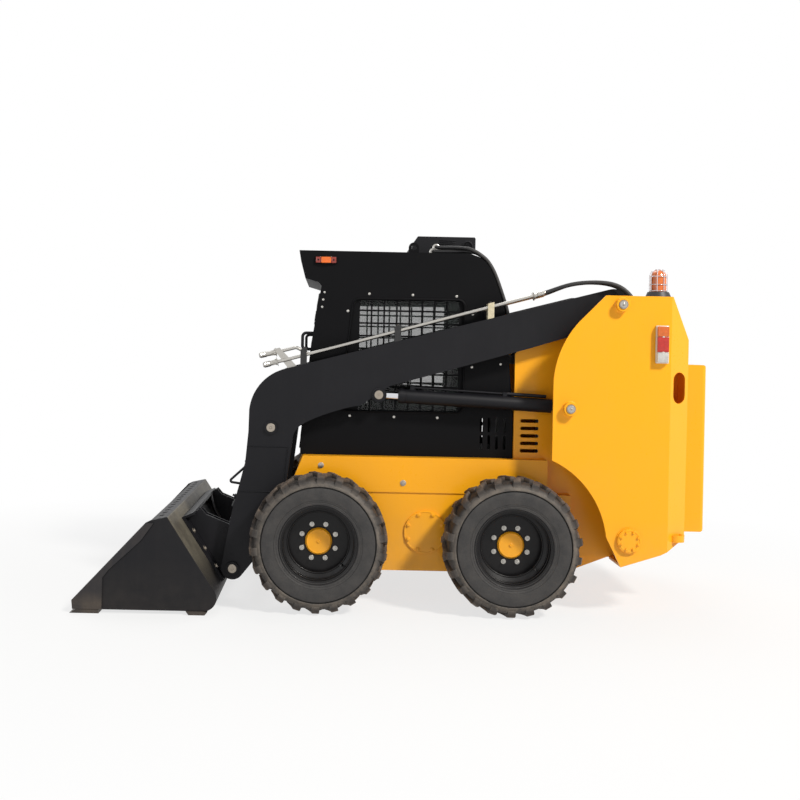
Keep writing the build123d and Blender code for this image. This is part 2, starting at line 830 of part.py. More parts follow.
rear_window = (-660, 1200)
with BuildPart() as cab_shell:
    with BuildSketch(side_plane(inside_y)):
        with BuildLine():
            Polyline(*CAB_SHEET)
            offset(amount=cab_plate, side=Side.LEFT, kind=Kind.INTERSECTION)
        make_face()
    extrude(amount=2 * inside_y)
    with BuildSketch(Plane.YZ.offset(-700)):
        with Locations((0, 1430)):
            RectangleRounded(640, 440, 40)
    extrude(amount=150, mode=Mode.SUBTRACT)
    for side in (LEFT, RIGHT):
        with BuildSketch(Plane.XZ.offset(-side * 440 - 6)):
            with Locations((-70, roof_z)):
                Rectangle(60, 30, align=(Align.CENTER, Align.MIN))
                with Locations((0, 30)):
                    Circle(30)
                    Circle(15, mode=Mode.SUBTRACT)
        extrude(amount=12)
keep(cab_shell.part, "cab_shell")

with BuildPart() as cab_posts:
    with BuildSketch(side_plane(inside_y)):
        with BuildLine():
            rear = door_thickness + door_drop
            Polyline(
                (front_line(post_top_z) - rear, post_top_z),
                (front_line(deck_z + cab_plate) - rear, deck_z + cab_plate),
                (front_line(deck_z + cab_plate) - rear - post_depth, deck_z + cab_plate),
                (front_line(post_top_z) - rear - post_depth, post_top_z),
                close=True,
            )
        make_face()
    extrude(amount=post_width)
    mirror(about=Plane.XZ)
    with BuildSketch(side_plane(inside_y - post_width)):
        with BuildLine():
            Polyline(
                (front_line(post_top_z) - rear, post_top_z),
                (front_line(post_top_z - 60) - rear, post_top_z - 60),
                (front_line(post_top_z - 60) - rear - post_depth, post_top_z - 60),
                (front_line(post_top_z) - rear - post_depth, post_top_z),
                close=True,
            )
        make_face()
    extrude(amount=2 * (inside_y - post_width))
front_plane = Plane(
    origin=(front_line(1352), 0, 1352),
    x_dir=(0, 1, 0),
    z_dir=(1, 0, door_lean),
)
door_height = 954
hinge_y = door_width / 2 + 18
hinge_out = 4
HINGE_ROWS = (-300, 300)
with BuildPart() as post_hinges:
    for row in HINGE_ROWS:
        for end in (-32, 32):
            with BuildSketch(front_plane.offset(-rear)):
                with Locations((hinge_y, row + end)):
                    Rectangle(18, 16)
            extrude(amount=rear + hinge_out + 9)
    pin_plane = Plane(
        origin=front_plane.from_local_coords((hinge_y, 0, hinge_out)),
        x_dir=(0, 1, 0),
        z_dir=(-door_lean, 0, 1),
    )
    for row in HINGE_ROWS:
        with BuildSketch(pin_plane.offset(row - 38)):
            Circle(6)
        extrude(amount=76)
with BuildPart() as cab_frame:
    add(cab_posts.part)
    add(post_hinges.part)
keep(cab_frame.part, "cab_posts")

with BuildPart() as door_frame:
    with BuildSketch(front_plane):
        RectangleRounded(door_width, door_height, 30)
        RectangleRounded(door_width - 90, door_height - 90, 40, mode=Mode.SUBTRACT)
    extrude(amount=-door_thickness)
    for row in HINGE_ROWS:
        with BuildSketch(pin_plane.offset(row - 22)):
            Circle(10)
            with Locations((-13, 2)):
                Rectangle(26, 16)
        extrude(amount=44)
        with BuildSketch(pin_plane.offset(row - 22)):
            Circle(6 + running_gap)
        extrude(amount=44, mode=Mode.SUBTRACT)
    with BuildSketch(front_plane):
        with Locations((30 - door_width / 2, -20)):
            RectangleRounded(34, 150, 12)
    extrude(amount=16)
keep(door_frame.part, "door_frame")

with BuildPart() as door_glass:
    with BuildSketch(front_plane.offset(-17)):
        RectangleRounded(door_width - 90, door_height - 90, 40)
    extrude(amount=6)
keep(door_glass.part, "door_glass")

with BuildPart() as cab_floor:
    with BuildSketch(Plane.XY.offset(deck_z)):
        with Locations((-55, 0)):
            Rectangle(1200, 2 * inside_y)
    extrude(amount=cab_plate)
keep(cab_floor.part, "cab_floor")

mesh_pitch_x, mesh_pitch_z, mesh_wire = 74, 74, 10
with BuildPart() as side_mesh:
    with BuildSketch(side_plane(inside_y)):
        with BuildLine():
            Polyline(
                (window_front_x + 25, window_bottom_z - 30),
                (306, window_top_z + 25),
                (window_rear_x - 25, window_top_z + 25),
                (window_rear_x - 25, window_bottom_z - 30),
                close=True,
            )
        make_face()
        with Locations((-52, 1440)):
            with GridLocations(mesh_pitch_x, mesh_pitch_z, 8, 9):
                Rectangle(mesh_pitch_x - mesh_wire, mesh_pitch_z - mesh_wire, mode=Mode.SUBTRACT)
    extrude(amount=8)
    mirror(about=Plane.XZ)
keep(side_mesh.part, "side_mesh")

with BuildPart() as side_glass:
    with BuildSketch(side_plane(inside_y - 8)):
        with BuildLine():
            Polyline(
                (window_front_x + 10, window_bottom_z - 20),
                (292, window_top_z + 15),
                (window_rear_x - 15, window_top_z + 15),
                (window_rear_x - 15, window_bottom_z - 20),
                close=True,
            )
        make_face()
    extrude(amount=5)
    mirror(about=Plane.XZ)
keep(side_glass.part, "side_glass")

sheet_angle = bearing(CAB_SHEET[-2], CAB_SHEET[-3])[1]
with BuildPart() as rear_glass:
    foot = along(CAB_SHEET[-2], sheet_angle, 60)
    head = along(CAB_SHEET[-2], sheet_angle, 590)
    with BuildSketch(side_plane(345)):
        with BuildLine():
            Polyline(
                along(foot, sheet_angle - 90, cab_plate),
                along(head, sheet_angle - 90, cab_plate),
                along(head, sheet_angle - 90, cab_plate + 5),
                along(foot, sheet_angle - 90, cab_plate + 5),
                close=True,
            )
        make_face()
    extrude(amount=690)
keep(rear_glass.part, "rear_glass")

floor_top = deck_z + cab_plate
with BuildPart() as seat_base:
    with BuildSketch(Plane.XY.offset(floor_top)):
        with Locations((-190, 0)):
            Rectangle(420, 440)
    extrude(amount=250)
    with BuildSketch(Plane.XY.offset(floor_top)):
        with Locations((-120, 330), (-120, -330)):
            Rectangle(560, 120)
    extrude(amount=340)
keep(seat_base.part, "seat_base")

with BuildPart() as seat_cushions:
    with BuildSketch(Plane.XY.offset(floor_top + 250)):
        with Locations((-160, 0)):
            RectangleRounded(460, 480, 60)
    extrude(amount=110)
    with BuildSketch(side_plane(230)):
        with BuildLine():
            Polyline(
                (-390, floor_top + 250),
                (-300, floor_top + 250),
                (-370, floor_top + 800),
                (-450, floor_top + 800),
                close=True,
            )
        make_face()
    extrude(amount=460)
keep(seat_cushions.part, "seat_cushions")

with BuildPart() as controls:
    for side in (LEFT, RIGHT):
        with BuildSketch(Plane.XY.offset(floor_top + 340)):
            with Locations((90, side * 330)):
                Circle(38)
        extrude(amount=30)
        with BuildSketch(Plane.XY.offset(floor_top + 370)):
            with Locations((90, side * 330)):
                Circle(12)
        extrude(amount=120)
        with Locations((90, side * 330, floor_top + 510)):
            Sphere(30)
keep(controls.part, "controls")

ac_front_x, ac_rear_x, ac_half, ac_top = -70, -449, 300, 2155
with BuildPart() as ac_unit:
    with BuildSketch(side_plane(ac_half)):
        with BuildLine():
            Polyline(
                (ac_front_x, roof_z),
                (ac_front_x, roof_z + 60),
                (ac_front_x - 33, ac_top),
                (ac_rear_x + 6, ac_top),
                (ac_rear_x, ac_top - 8),
                (ac_rear_x, roof_z + 24),
                (roof_rear_x, roof_z),
                close=True,
            )
        make_face()
    extrude(amount=2 * ac_half)
keep(ac_unit.part, "ac_unit")

ac_hose_radius = 11
BACK_ROUTE = ((-448, 2050), (-502, 2010), (-539, 1953), (-567, 1888), (-594, 1812), (-625, 1722), (-648, 1600), (-688, 1458))
AC_HOSES = (
    # start on the unit's side, then the distance in from the cab's side
    ((-213, 2088), (-335, 2084), 22),
    ((-195, 2062), (-320, 2061), 46),
)
with BuildPart() as ac_hoses:
    for first, second, inset in AC_HOSES:
        run_y = cab_half_width - inset
        low = first[1] - AC_HOSES[0][0][1]
        points = [
            (first[0], ac_half, first[1]),
            (first[0], ac_half + 26, first[1]),
            (second[0], (ac_half + run_y) / 2 + 10, second[1]),
            (-400, run_y - 8, 2074 + low / 2),
            *[(x, run_y, z) for x, z in BACK_ROUTE],
        ]
        bends = []
        for before, at, after in zip(points, points[1:], points[2:]):
            arrive, leave = Vector(*at) - Vector(*before), Vector(*after) - Vector(*at)
            half_turn = math.radians(arrive.get_angle(leave)) / 2
            bends.append(0.45 * min(arrive.length, leave.length) / math.tan(half_turn))
        with BuildLine() as run:
            FilletPolyline(*points, radius=bends)
        with BuildSketch(Plane(origin=run.line @ 0, z_dir=run.line % 0)):
            Circle(ac_hose_radius)
        sweep(path=run.line)
        print("cooling hose: length", round(sum(e.length for e in run.edges())), "smallest bend", round(min(bends)))
keep(ac_hoses.part, "ac_hoses")

with BuildPart() as marker_lamps:
    with BuildSketch(side_plane(cab_half_width + 24)):
        with Locations((443, 1988)):
            RectangleRounded(129, 44, 10)
    extrude(amount=24)
    mirror(about=Plane.XZ)
keep(marker_lamps.part, "marker_lamps")

grip_y = inside_y - 24
with BuildPart() as grab_handles:
    for side in (LEFT, RIGHT):
        with BuildLine() as bend:
            FilletPolyline(
                (front_line(1560) - rear + 1.2, side * grip_y, 1560),
                (572, side * grip_y, 1560),
                (572, side * grip_y, 1465),
                (front_line(1465) - rear + 1.2, side * grip_y, 1465),
                radius=22,
            )
        with BuildSketch(Plane(origin=bend.line @ 0, z_dir=bend.line % 0)):
            Circle(9)
        sweep(path=bend.line)
keep(grab_handles.part, "grab_handles")

# ---------------------------------------------------------------------------------------------
# Engine cover, rear frame and rear door
# ---------------------------------------------------------------------------------------------
hood_slope = bearing(hood_front, hood_rear)[1]
hood_half = tower_inner_y - 15
rear_hinge = (tail_x - 25, tower_inner_y)
rear_gap = 4
hood_plate = 14
with BuildPart() as rear_frame:
    with BuildSketch(side_plane(tower_inner_y)):
        with Locations((-695, 1428)):
            Rectangle(40, 54)
    extrude(amount=2 * tower_inner_y)
    for side in (LEFT, RIGHT):
        for ear_y in (286, 394):
            with BuildSketch(Plane.XZ.offset(-side * ear_y - 6)):
                with BuildLine():
                    Polyline((-715, 1401), (-715, 1455), (-749, 1488), (-749, 1512), (-721, 1512), (-675, 1455),
                             (-675, 1401), close=True)
                make_face()
            extrude(amount=12)
        with BuildSketch(Plane.XZ.offset(-side * 340 - 60)):
            with Locations(hood_front):
                Circle(8)
        extrude(amount=120)
    with BuildSketch(side_plane(tower_inner_y)):
        with Locations((tail_x, 1002.5)):
            Rectangle(72, 805, align=(Align.MIN, Align.CENTER))
    extrude(amount=30)
    mirror(about=Plane.XZ)
    for bar_z in (615, 1390):
        with BuildSketch(side_plane(tower_inner_y - 30)):
            with Locations((tail_x, bar_z)):
                Rectangle(52, 30, align=(Align.MIN, Align.CENTER))
        extrude(amount=2 * (tower_inner_y - 30))
    for row_z in (600, 1260):
        for end in (-37, 37):
            with BuildSketch(Plane.XY.offset(row_z + end - 6)):
                with Locations(rear_hinge):
                    Circle(12)
                    with Locations((tail_x - rear_hinge[0], -3)):
                        Rectangle(tail_x - rear_hinge[0], 18, align=(Align.MAX, Align.CENTER))
            extrude(amount=12)
        with BuildSketch(Plane.XY.offset(row_z - 43)):
            with Locations(rear_hinge):
                Circle(8)
        extrude(amount=86)
keep(rear_frame.part, "rear_frame")

with BuildPart() as hood:
    lid_start = along(hood_front, hood_slope, 20)
    with BuildSketch(side_plane(hood_half)):
        with BuildLine():
            Polyline(
                lid_start,
                hood_rear,
                along(hood_rear, hood_slope + 90, hood_plate),
                along(lid_start, hood_slope + 90, hood_plate),
                close=True,
            )
        make_face()
    extrude(amount=2 * hood_half)
    for side in (LEFT, RIGHT):
        with BuildSketch(Plane.XZ.offset(-side * 340 - 44)):
            with Locations(hood_front):
                Circle(14)
            with BuildLine():
                Polyline(
                    along(hood_front, hood_slope - 90, 2),
                    along(along(hood_front, hood_slope - 90, 2), hood_slope, 30),
                    along(along(hood_front, hood_slope + 90, 14), hood_slope, 30),
                    along(hood_front, hood_slope + 90, 14),
                    close=True,
                )
            make_face()
        extrude(amount=88)
        with BuildSketch(Plane.XZ.offset(-side * 340 - 44)):
            with Locations(hood_front):
                Circle(8 + running_gap)
        extrude(amount=88, mode=Mode.SUBTRACT)
        skirt_end = along(hood_front, hood_slope, 800)
        with BuildSketch(Plane.XZ.offset(-side * (hood_half - 6) - 6)):
            with BuildLine():
                Polyline(
                    lid_start,
                    skirt_end,
                    along(skirt_end, hood_slope + 90, 46),
                    along(along(lid_start, hood_slope, 30), hood_slope + 90, 46),
                    close=True,
                )
            make_face()
        extrude(amount=12)
keep(hood.part, "hood")

rear_pan_depth = tail_x - rear_gap - rear_door_x
with BuildPart() as rear_door:
    with BuildSketch(Plane.YZ.offset(rear_door_x)):
        with Locations((0, (rear_door_bottom_z + rear_door_top_z) / 2)):
            Rectangle(2 * rear_door_half_width, rear_door_top_z - rear_door_bottom_z)
    extrude(amount=rear_pan_depth)
    fillet(rear_door.edges().group_by(Axis.X)[0], 24)
    with BuildSketch(Plane.YZ.offset(rear_door_x + 12)):
        with Locations((0, (rear_door_bottom_z + rear_door_top_z) / 2)):
            Rectangle(2 * rear_door_half_width - 24, rear_door_top_z - rear_door_bottom_z - 24)
    extrude(amount=rear_pan_depth, mode=Mode.SUBTRACT)
    with BuildSketch(Plane.YZ.offset(rear_door_x)):
        with Locations((0, 1060)):
            with GridLocations(0, 52, 1, 9):
                SlotOverall(620, 22)
    extrude(amount=14, mode=Mode.SUBTRACT)
    with BuildSketch(Plane.YZ.offset(rear_door_x)):
        with Locations((-360, 640)):
            RectangleRounded(60, 150, 12)
    extrude(amount=6, mode=Mode.SUBTRACT)
    for row_z in (600, 1260):
        with BuildSketch(Plane.XY.offset(row_z - 28)):
            with Locations(rear_hinge):
                Circle(14)
            with Locations((rear_hinge[0] - 8, rear_hinge[1] - 11)):
                Rectangle(16, 22)
        extrude(amount=56)
        with BuildSketch(Plane.XY.offset(row_z - 28)):
            with Locations(rear_hinge):
                Circle(8 + running_gap)
        extrude(amount=56, mode=Mode.SUBTRACT)
keep(rear_door.part, "rear_door")

# ---------------------------------------------------------------------------------------------
# Lamps and hydraulic lines
# ---------------------------------------------------------------------------------------------
with BuildPart() as tail_lamps:
    with BuildSketch(side_plane(skin_outer_y + 40)):
        with Locations((-1444, 1531)):
            RectangleRounded(72, 211, 12)
    extrude(amount=40)
    mirror(about=Plane.XZ)
keep(tail_lamps.part, "tail_lamps")

beacon_at = (-1455, skin_outer_y - 125)
beacon_foot, beacon_radius, beacon_height = 31, 50, 168
with BuildPart() as beacon_base:
    with BuildSketch(Plane.XY.offset(tower_top_z)):
        with Locations(beacon_at):
            Circle(73)
    extrude(amount=beacon_foot, taper=24)
keep(beacon_base.part, "beacon_base")
with BuildPart() as beacon_lens:
    with BuildSketch(Plane.XY.offset(tower_top_z + beacon_foot)):
        with Locations(beacon_at):
            Circle(beacon_radius)
    extrude(amount=beacon_height - beacon_foot)
    fillet(beacon_lens.edges().group_by(Axis.Z)[-1], beacon_radius - 3)
keep(beacon_lens.part, "beacon_lens")

tube_radius = 9.5
TUBES = (
    # across, then the bends as (x, z)
    (arm_outer_y - 19, ((707, 1390), (678, 1396), (-791, 1808))),
    (arm_inner_y + 22, ((717, 1444), (603, 1474), (530, 1436), (-791, 1802))),
)
CLAMPS = ((560, 66), (20, 66), (-513, 66))
COUPLINGS = (
    (arm_outer_y - 19, (707, 1390), (790, 1367)),
    (arm_inner_y + 22, (717, 1444), (816, 1422)),
)


def boom_top(x):
    """Height of the arm's straight top edge at a station."""
    rise = (arm_heel_top[1] - knee_start[1]) / (knee_start[0] - arm_heel_top[0])
    return knee_start[1] + (knee_start[0] - x) * rise


with BuildPart() as aux_tubes:
    for tube_y, bends in TUBES:
        with BuildLine() as run:
            FilletPolyline(*[(x, tube_y, z) for x, z in bends], radius=30)
        with BuildSketch(Plane(origin=run.line @ 0, z_dir=run.line % 0)):
            Circle(tube_radius)
        sweep(path=run.line)
keep(aux_tubes.part, "aux_tubes")

with BuildPart() as tube_clamps:
    for clamp_x, rise in CLAMPS:
        with BuildSketch(side_plane(arm_outer_y - 2)):
            with BuildLine():
                Polyline(
                    (clamp_x - 18, boom_top(clamp_x - 18)),
                    (clamp_x + 18, boom_top(clamp_x + 18)),
                    (clamp_x + 18, boom_top(clamp_x + 18) + rise + 24),
                    (clamp_x - 18, boom_top(clamp_x - 18) + rise + 24),
                    close=True,
                )
            make_face()
        extrude(amount=arm_width - 4)
    add(aux_tubes.part, mode=Mode.SUBTRACT)
keep(tube_clamps.part, "tube_clamps")

with BuildPart() as aux_couplers:
    for tube_y, start, end in COUPLINGS:
        reach, angle = bearing(start, end)
        lean = math.radians(angle)
        nose = Plane(
            origin=(start[0], tube_y, start[1]), x_dir=(0, 1, 0), z_dir=(math.cos(lean), 0, math.sin(lean))
        )
        with BuildSketch(nose):
            RegularPolygon(17, 6)
        extrude(amount=30)
        with BuildSketch(nose.offset(30)):
            Circle(14)
        extrude(amount=reach - 30)
    with BuildSketch(side_plane(arm_centre_y + 3)):
        with BuildLine():
            Polyline((600, boom_top(600)), (650, boom_top(650)), (735, 1462), (700, 1470), close=True)
        make_face()
    extrude(amount=6)
    add(aux_tubes.part, mode=Mode.SUBTRACT)
keep(aux_couplers.part, "aux_couplers")

with BuildPart() as boom_hoses:
    for tube_y, bends in TUBES:
        start = (bends[-1][0], tube_y, bends[-1][1])
        high = tube_y - arm_centre_y - 1
        with BuildLine() as run:
            Spline(
                start,
                (-950, arm_centre_y + 25 + high, 1862),
                (-1120, arm_centre_y + 55 + high, 1880),
                (-1270, arm_outer_y + 50 + high, 1830),
                (-1318, arm_outer_y + 55 + high, 1745),
                (-1278, arm_outer_y, 1702 + high),
                tangents=[(-1, 0, 0.28), (0.4, -1, 0)],
            )
        with BuildSketch(Plane(origin=run.line @ 0, z_dir=run.line % 0)):
            Circle(12)
        sweep(path=run.line)
    add(aux_tubes.part, mode=Mode.SUBTRACT)
    with BuildSketch(side_plane(arm_outer_y)):
        with Locations(arm_pivot):
            Circle(arm_heel_radius)
    extrude(amount=arm_width, mode=Mode.SUBTRACT)
keep(boom_hoses.part, "boom_hoses")
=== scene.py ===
# %% [markdown]
# # A skid steer loader
#
# This lesson dresses a machine whose bare solids are already known: four chunky tyres, a folded
# steel body, two lift arms and a dirt bucket. The solids come in as a fixed frame, in metres, with
# X towards the bucket, Y to the operator's left and Z up. Everything made here is placed by what
# the frame says.

# %% Load the frame
import math

import bmesh
import bpy
from mathutils import Matrix, Vector


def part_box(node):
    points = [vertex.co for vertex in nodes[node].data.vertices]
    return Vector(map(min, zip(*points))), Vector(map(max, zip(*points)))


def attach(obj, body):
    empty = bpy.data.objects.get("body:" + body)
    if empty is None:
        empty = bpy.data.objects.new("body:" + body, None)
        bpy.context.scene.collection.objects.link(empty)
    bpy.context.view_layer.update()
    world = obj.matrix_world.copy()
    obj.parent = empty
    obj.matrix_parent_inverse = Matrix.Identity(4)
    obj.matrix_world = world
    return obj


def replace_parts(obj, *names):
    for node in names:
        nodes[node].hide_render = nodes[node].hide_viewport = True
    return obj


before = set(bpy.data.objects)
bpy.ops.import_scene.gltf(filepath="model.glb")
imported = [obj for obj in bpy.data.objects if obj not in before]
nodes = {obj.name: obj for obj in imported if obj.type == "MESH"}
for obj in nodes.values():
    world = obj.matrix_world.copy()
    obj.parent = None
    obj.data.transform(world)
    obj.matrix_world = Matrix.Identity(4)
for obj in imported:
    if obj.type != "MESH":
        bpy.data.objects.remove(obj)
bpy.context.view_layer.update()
scene = bpy.context.scene
scene.view_settings.view_transform = "Standard"

# %% [markdown]
# ## The camera
#
# A machine this size is shown whole from about seven metres to its left, with the camera at chest
# height and a normal lens. Turning a camera down at it would make upright edges lean together, so
# the lens is shifted instead, and the camera only rolls by the degree that the ground slopes.

# %% Camera
SENSOR = 36.0
CAMERA_AT = (0.380, 6.844, 1.463)
ROLL = math.radians(1.2)
# the square view is measured in 800 steps: the focal length, and where the lens axis meets it
STEPS, FOCAL, AXIS_ACROSS, AXIS_DOWN = 800, 1091.7, 335, 350
camera_data = bpy.data.cameras.new("side_view")
camera_data.sensor_width = SENSOR
camera_data.lens = SENSOR * FOCAL / STEPS
camera_data.shift_x = (STEPS / 2 - AXIS_ACROSS) / STEPS
camera_data.shift_y = -(STEPS / 2 - AXIS_DOWN) / STEPS
camera_data.clip_end = 100
camera = bpy.data.objects.new("side_view", camera_data)
camera.location = CAMERA_AT
camera.rotation_euler = (Matrix.Rotation(math.pi, 3, "Z") @ Matrix.Rotation(math.pi / 2, 3, "X")
                         @ Matrix.Rotation(ROLL, 3, "Z")).to_euler()
scene.collection.objects.link(camera)
scene.camera = camera
print("camera:", round(camera_data.lens, 2), "mm lens")

# %% [markdown]
# ## Writing shaders in few words
#
# A shader is a tree of small nodes with wires between their sockets. Clicking them together is slow
# to repeat, so a few helpers add a node, wire it and do sums, and the studio and every finish below
# are written with them.

# %% Node helpers
def node(tree, kind, **settings):
    """Adds a shader node and sets its properties and sockets."""
    made = tree.nodes.new("ShaderNode" + kind)
    for key, value in settings.items():
        if hasattr(made, key):
            setattr(made, key, value)
        else:
            made.inputs[key.replace("_", " ")].default_value = value
    return made


def wire(tree, *pairs):
    for start, end in pairs:
        tree.links.new(start, end)


def feed(tree, slot, value):
    """Wires a socket to a slot, or sets the slot to a plain value."""
    if isinstance(value, bpy.types.NodeSocket):
        tree.links.new(value, slot)
    else:
        slot.default_value = value


def noise(tree, vector, scale, detail=4.0, rough=0.6):
    """A noise texture's value at a scale, read at a vector."""
    made = node(tree, "TexNoise", Detail=detail, Roughness=rough)
    feed(tree, made.inputs["Vector"], vector)
    feed(tree, made.inputs["Scale"], scale)
    return made.outputs["Fac"]


def remap(tree, value, low, high, to_low=0.0, to_high=1.0):
    """Takes a value from one range to another and clamps it."""
    made = node(tree, "MapRange")
    for label, number in (("Value", value), ("From Min", low), ("From Max", high),
                          ("To Min", to_low), ("To Max", to_high)):
        feed(tree, made.inputs[label], number)
    return made.outputs["Result"]


def maths(tree, operation, first, second):
    made = node(tree, "Math", operation=operation)
    feed(tree, made.inputs[0], first)
    feed(tree, made.inputs[1], second)
    return made.outputs[0]


def linear(hex_colour):
    """A colour written as web hex, as the linear numbers that shaders use."""
    parts = [int(hex_colour[i:i + 2], 16) / 255 for i in (0, 2, 4)]
    light = [c / 12.92 if c <= 0.04045 else ((c + 0.055) / 1.055) ** 2.4 for c in parts]
    return (*light, 1.0)


def blend_colours(tree, amount, first, second):
    """Mixes two colours, each a socket, linear numbers or web hex."""
    made = node(tree, "Mix", data_type="RGBA")
    for index, value in ((0, amount), (6, first), (7, second)):
        feed(tree, made.inputs[index], linear(value) if isinstance(value, str) else value)
    return made.outputs[2]


def object_coords(tree):
    return node(tree, "TexCoord").outputs["Object"]


def split_axes(tree, vector):
    """The X, Y and Z of a vector as sockets by name."""
    split = node(tree, "SeparateXYZ")
    wire(tree, (vector, split.inputs[0]))
    return split.outputs


def new_material(name):
    """A material with its node tree and its Principled shader."""
    made = bpy.data.materials.new(name)
    made.use_nodes = True
    return made, made.node_tree, made.node_tree.nodes["Principled BSDF"]


def set_sockets(shader, **values):
    """Sets a shader's own sockets, whose spaces are written as underscores."""
    for label, value in values.items():
        shader.inputs[label.replace("_", " ")].default_value = value


print("shader helpers ready")

# %% [markdown]
# ## Floor and light
#
# The machine stands on a plain pale floor. A strong key lamp over the camera's right shoulder gives
# the folded plates their different tones, a weak fill from the left keeps black paint readable,
# and the world gives an even base level. A brighter world would light everything as flatly as fog,
# so it is dim, and only camera, mirror and glass rays see it as white.

# %% Studio
def lamp(name, location, size, power, color=(1, 1, 1)):
    """A square area lamp that looks at the machine's middle."""
    data = bpy.data.lights.new(name, "AREA")
    data.shape = "SQUARE"
    data.size = size
    data.energy = power
    data.color = color
    thing = bpy.data.objects.new(name, data)
    thing.location = location
    thing.rotation_euler = (MIDDLE - Vector(location)).to_track_quat("-Z", "Y").to_euler()
    scene.collection.objects.link(thing)


def see_white(tree, lit, emitter, share=None):
    """Mixes a shader with an emitter that only camera, mirror and glass rays see."""
    path = node(tree, "LightPath").outputs
    seen = path["Is Camera Ray"]
    for other in ("Is Glossy Ray", "Is Transmission Ray"):
        seen = maths(tree, "MAXIMUM", seen, path[other])
    if share:
        seen = maths(tree, "MULTIPLY", seen, share)
    mix = node(tree, "MixShader")
    wire(tree, (seen, mix.inputs["Fac"]), (lit, mix.inputs[1]), (emitter, mix.inputs[2]))
    return mix.outputs[0]


MIDDLE = Vector((0, 0, 0.9))
WORLD_LIGHT = 0.2
WHITE = (1, 1, 1, 1)
lamp("key", (-9.3, 9.9, 12.2), 2.1, 3000, (1, 0.97, 0.92))
lamp("fill", (5.0, 7.0, 3.0), 4.0, 70, (0.93, 0.96, 1))
lamp("top", (0, -3.0, 8.0), 5.0, 220)

world = bpy.data.worlds.new("pale")
scene.world = world
world.use_nodes = True
tree = world.node_tree
tree.nodes.clear()
plain = node(tree, "Background", Strength=WORLD_LIGHT, Color=WHITE)
white = node(tree, "Background", Color=WHITE)
wire(tree, (see_white(tree, plain.outputs[0], white.outputs[0]),
            node(tree, "OutputWorld").inputs["Surface"]))

# %% Floor
bm = bmesh.new()
bmesh.ops.create_grid(bm, x_segments=1, y_segments=1, size=40)
bmesh.ops.translate(bm, verts=bm.verts, vec=(0, 0, -0.001))
floor_mesh = bpy.data.meshes.new("floor")
bm.to_mesh(floor_mesh)
bm.free()
floor = bpy.data.objects.new("floor", floor_mesh)
scene.collection.objects.link(floor)
pale_floor, tree, floor_shader = new_material("pale_floor")
floor_shader.inputs["Base Color"].default_value = (0.8, 0.8, 0.79, 1)
floor_shader.inputs["Roughness"].default_value = 0.9
away = node(tree, "VectorMath", operation="LENGTH")
wire(tree, (object_coords(tree), away.inputs[0]))
share = remap(tree, away.outputs["Value"], 1.6, 4.5, 0.72, 1.0)
glow = node(tree, "Emission")
wire(tree, (see_white(tree, floor_shader.outputs[0], glow.outputs[0], share),
            tree.nodes["Material Output"].inputs["Surface"]))
floor_mesh.materials.append(pale_floor)
print("studio ready")

# %% [markdown]
# ## Shared finishes
#
# Painted steel, cast iron and rubber on a working machine share three things: soft blotches of
# dust, thin streaks where water ran down, and more dirt close to the ground. They are built once,
# as node groups that put out masks and values, and each material mixes them in its own amounts.

# %% The weather group
def new_group(name, inputs, outputs):
    """An empty shader node group with named float or colour sockets."""
    group = bpy.data.node_groups.new(name, "ShaderNodeTree")
    for side, sockets in (("INPUT", inputs), ("OUTPUT", outputs)):
        for label, kind, value in sockets:
            socket = group.interface.new_socket(label, in_out=side, socket_type="NodeSocket" + kind)
            if value is not None:
                socket.default_value = value
    start = group.nodes.new("NodeGroupInput")
    end = group.nodes.new("NodeGroupOutput")
    return group, start, end


weather, given, result = new_group(
    "weather",
    [("Blotch Scale", "Float", 3.0), ("Streaks", "Float", 0.5), ("Ground Height", "Float", 0.55)],
    [("Dust", "Float", None), ("Low Dirt", "Float", None), ("Fine", "Float", None)],
)
coords = object_coords(weather)
blotch = noise(weather, coords, given.outputs["Blotch Scale"], 7.0, 0.62)
stretched = node(weather, "Mapping", Scale=(26, 26, 1.6))
wire(weather, (coords, stretched.inputs["Vector"]))
runs = noise(weather, stretched.outputs[0], 1.0, 3.0, 0.5)
runs = maths(weather, "MULTIPLY", remap(weather, runs, 0.5, 0.8), given.outputs["Streaks"])
dust = maths(weather, "ADD", remap(weather, blotch, 0.42, 0.78), runs)
nearness = remap(weather, split_axes(weather, coords)["Z"], given.outputs["Ground Height"], 0.05)
ragged = maths(weather, "ADD", remap(weather, noise(weather, coords, 9.0, 6.0), 0.3, 0.7), 0.25)
wire(weather, (dust, result.inputs["Dust"]),
     (maths(weather, "MULTIPLY", nearness, ragged), result.inputs["Low Dirt"]),
     (noise(weather, coords, 90.0, 3.0), result.inputs["Fine"]))
print("weather group:", len(weather.nodes), "nodes")

# %% A finish
def add_bump(tree, shader, height, strength, depth):
    """Wires a height into the shader's normal."""
    bump = node(tree, "Bump", Strength=strength, Distance=depth)
    wire(tree, (height, bump.inputs["Height"]), (bump.outputs[0], shader.inputs["Normal"]))


MOST_DUST = 0.9


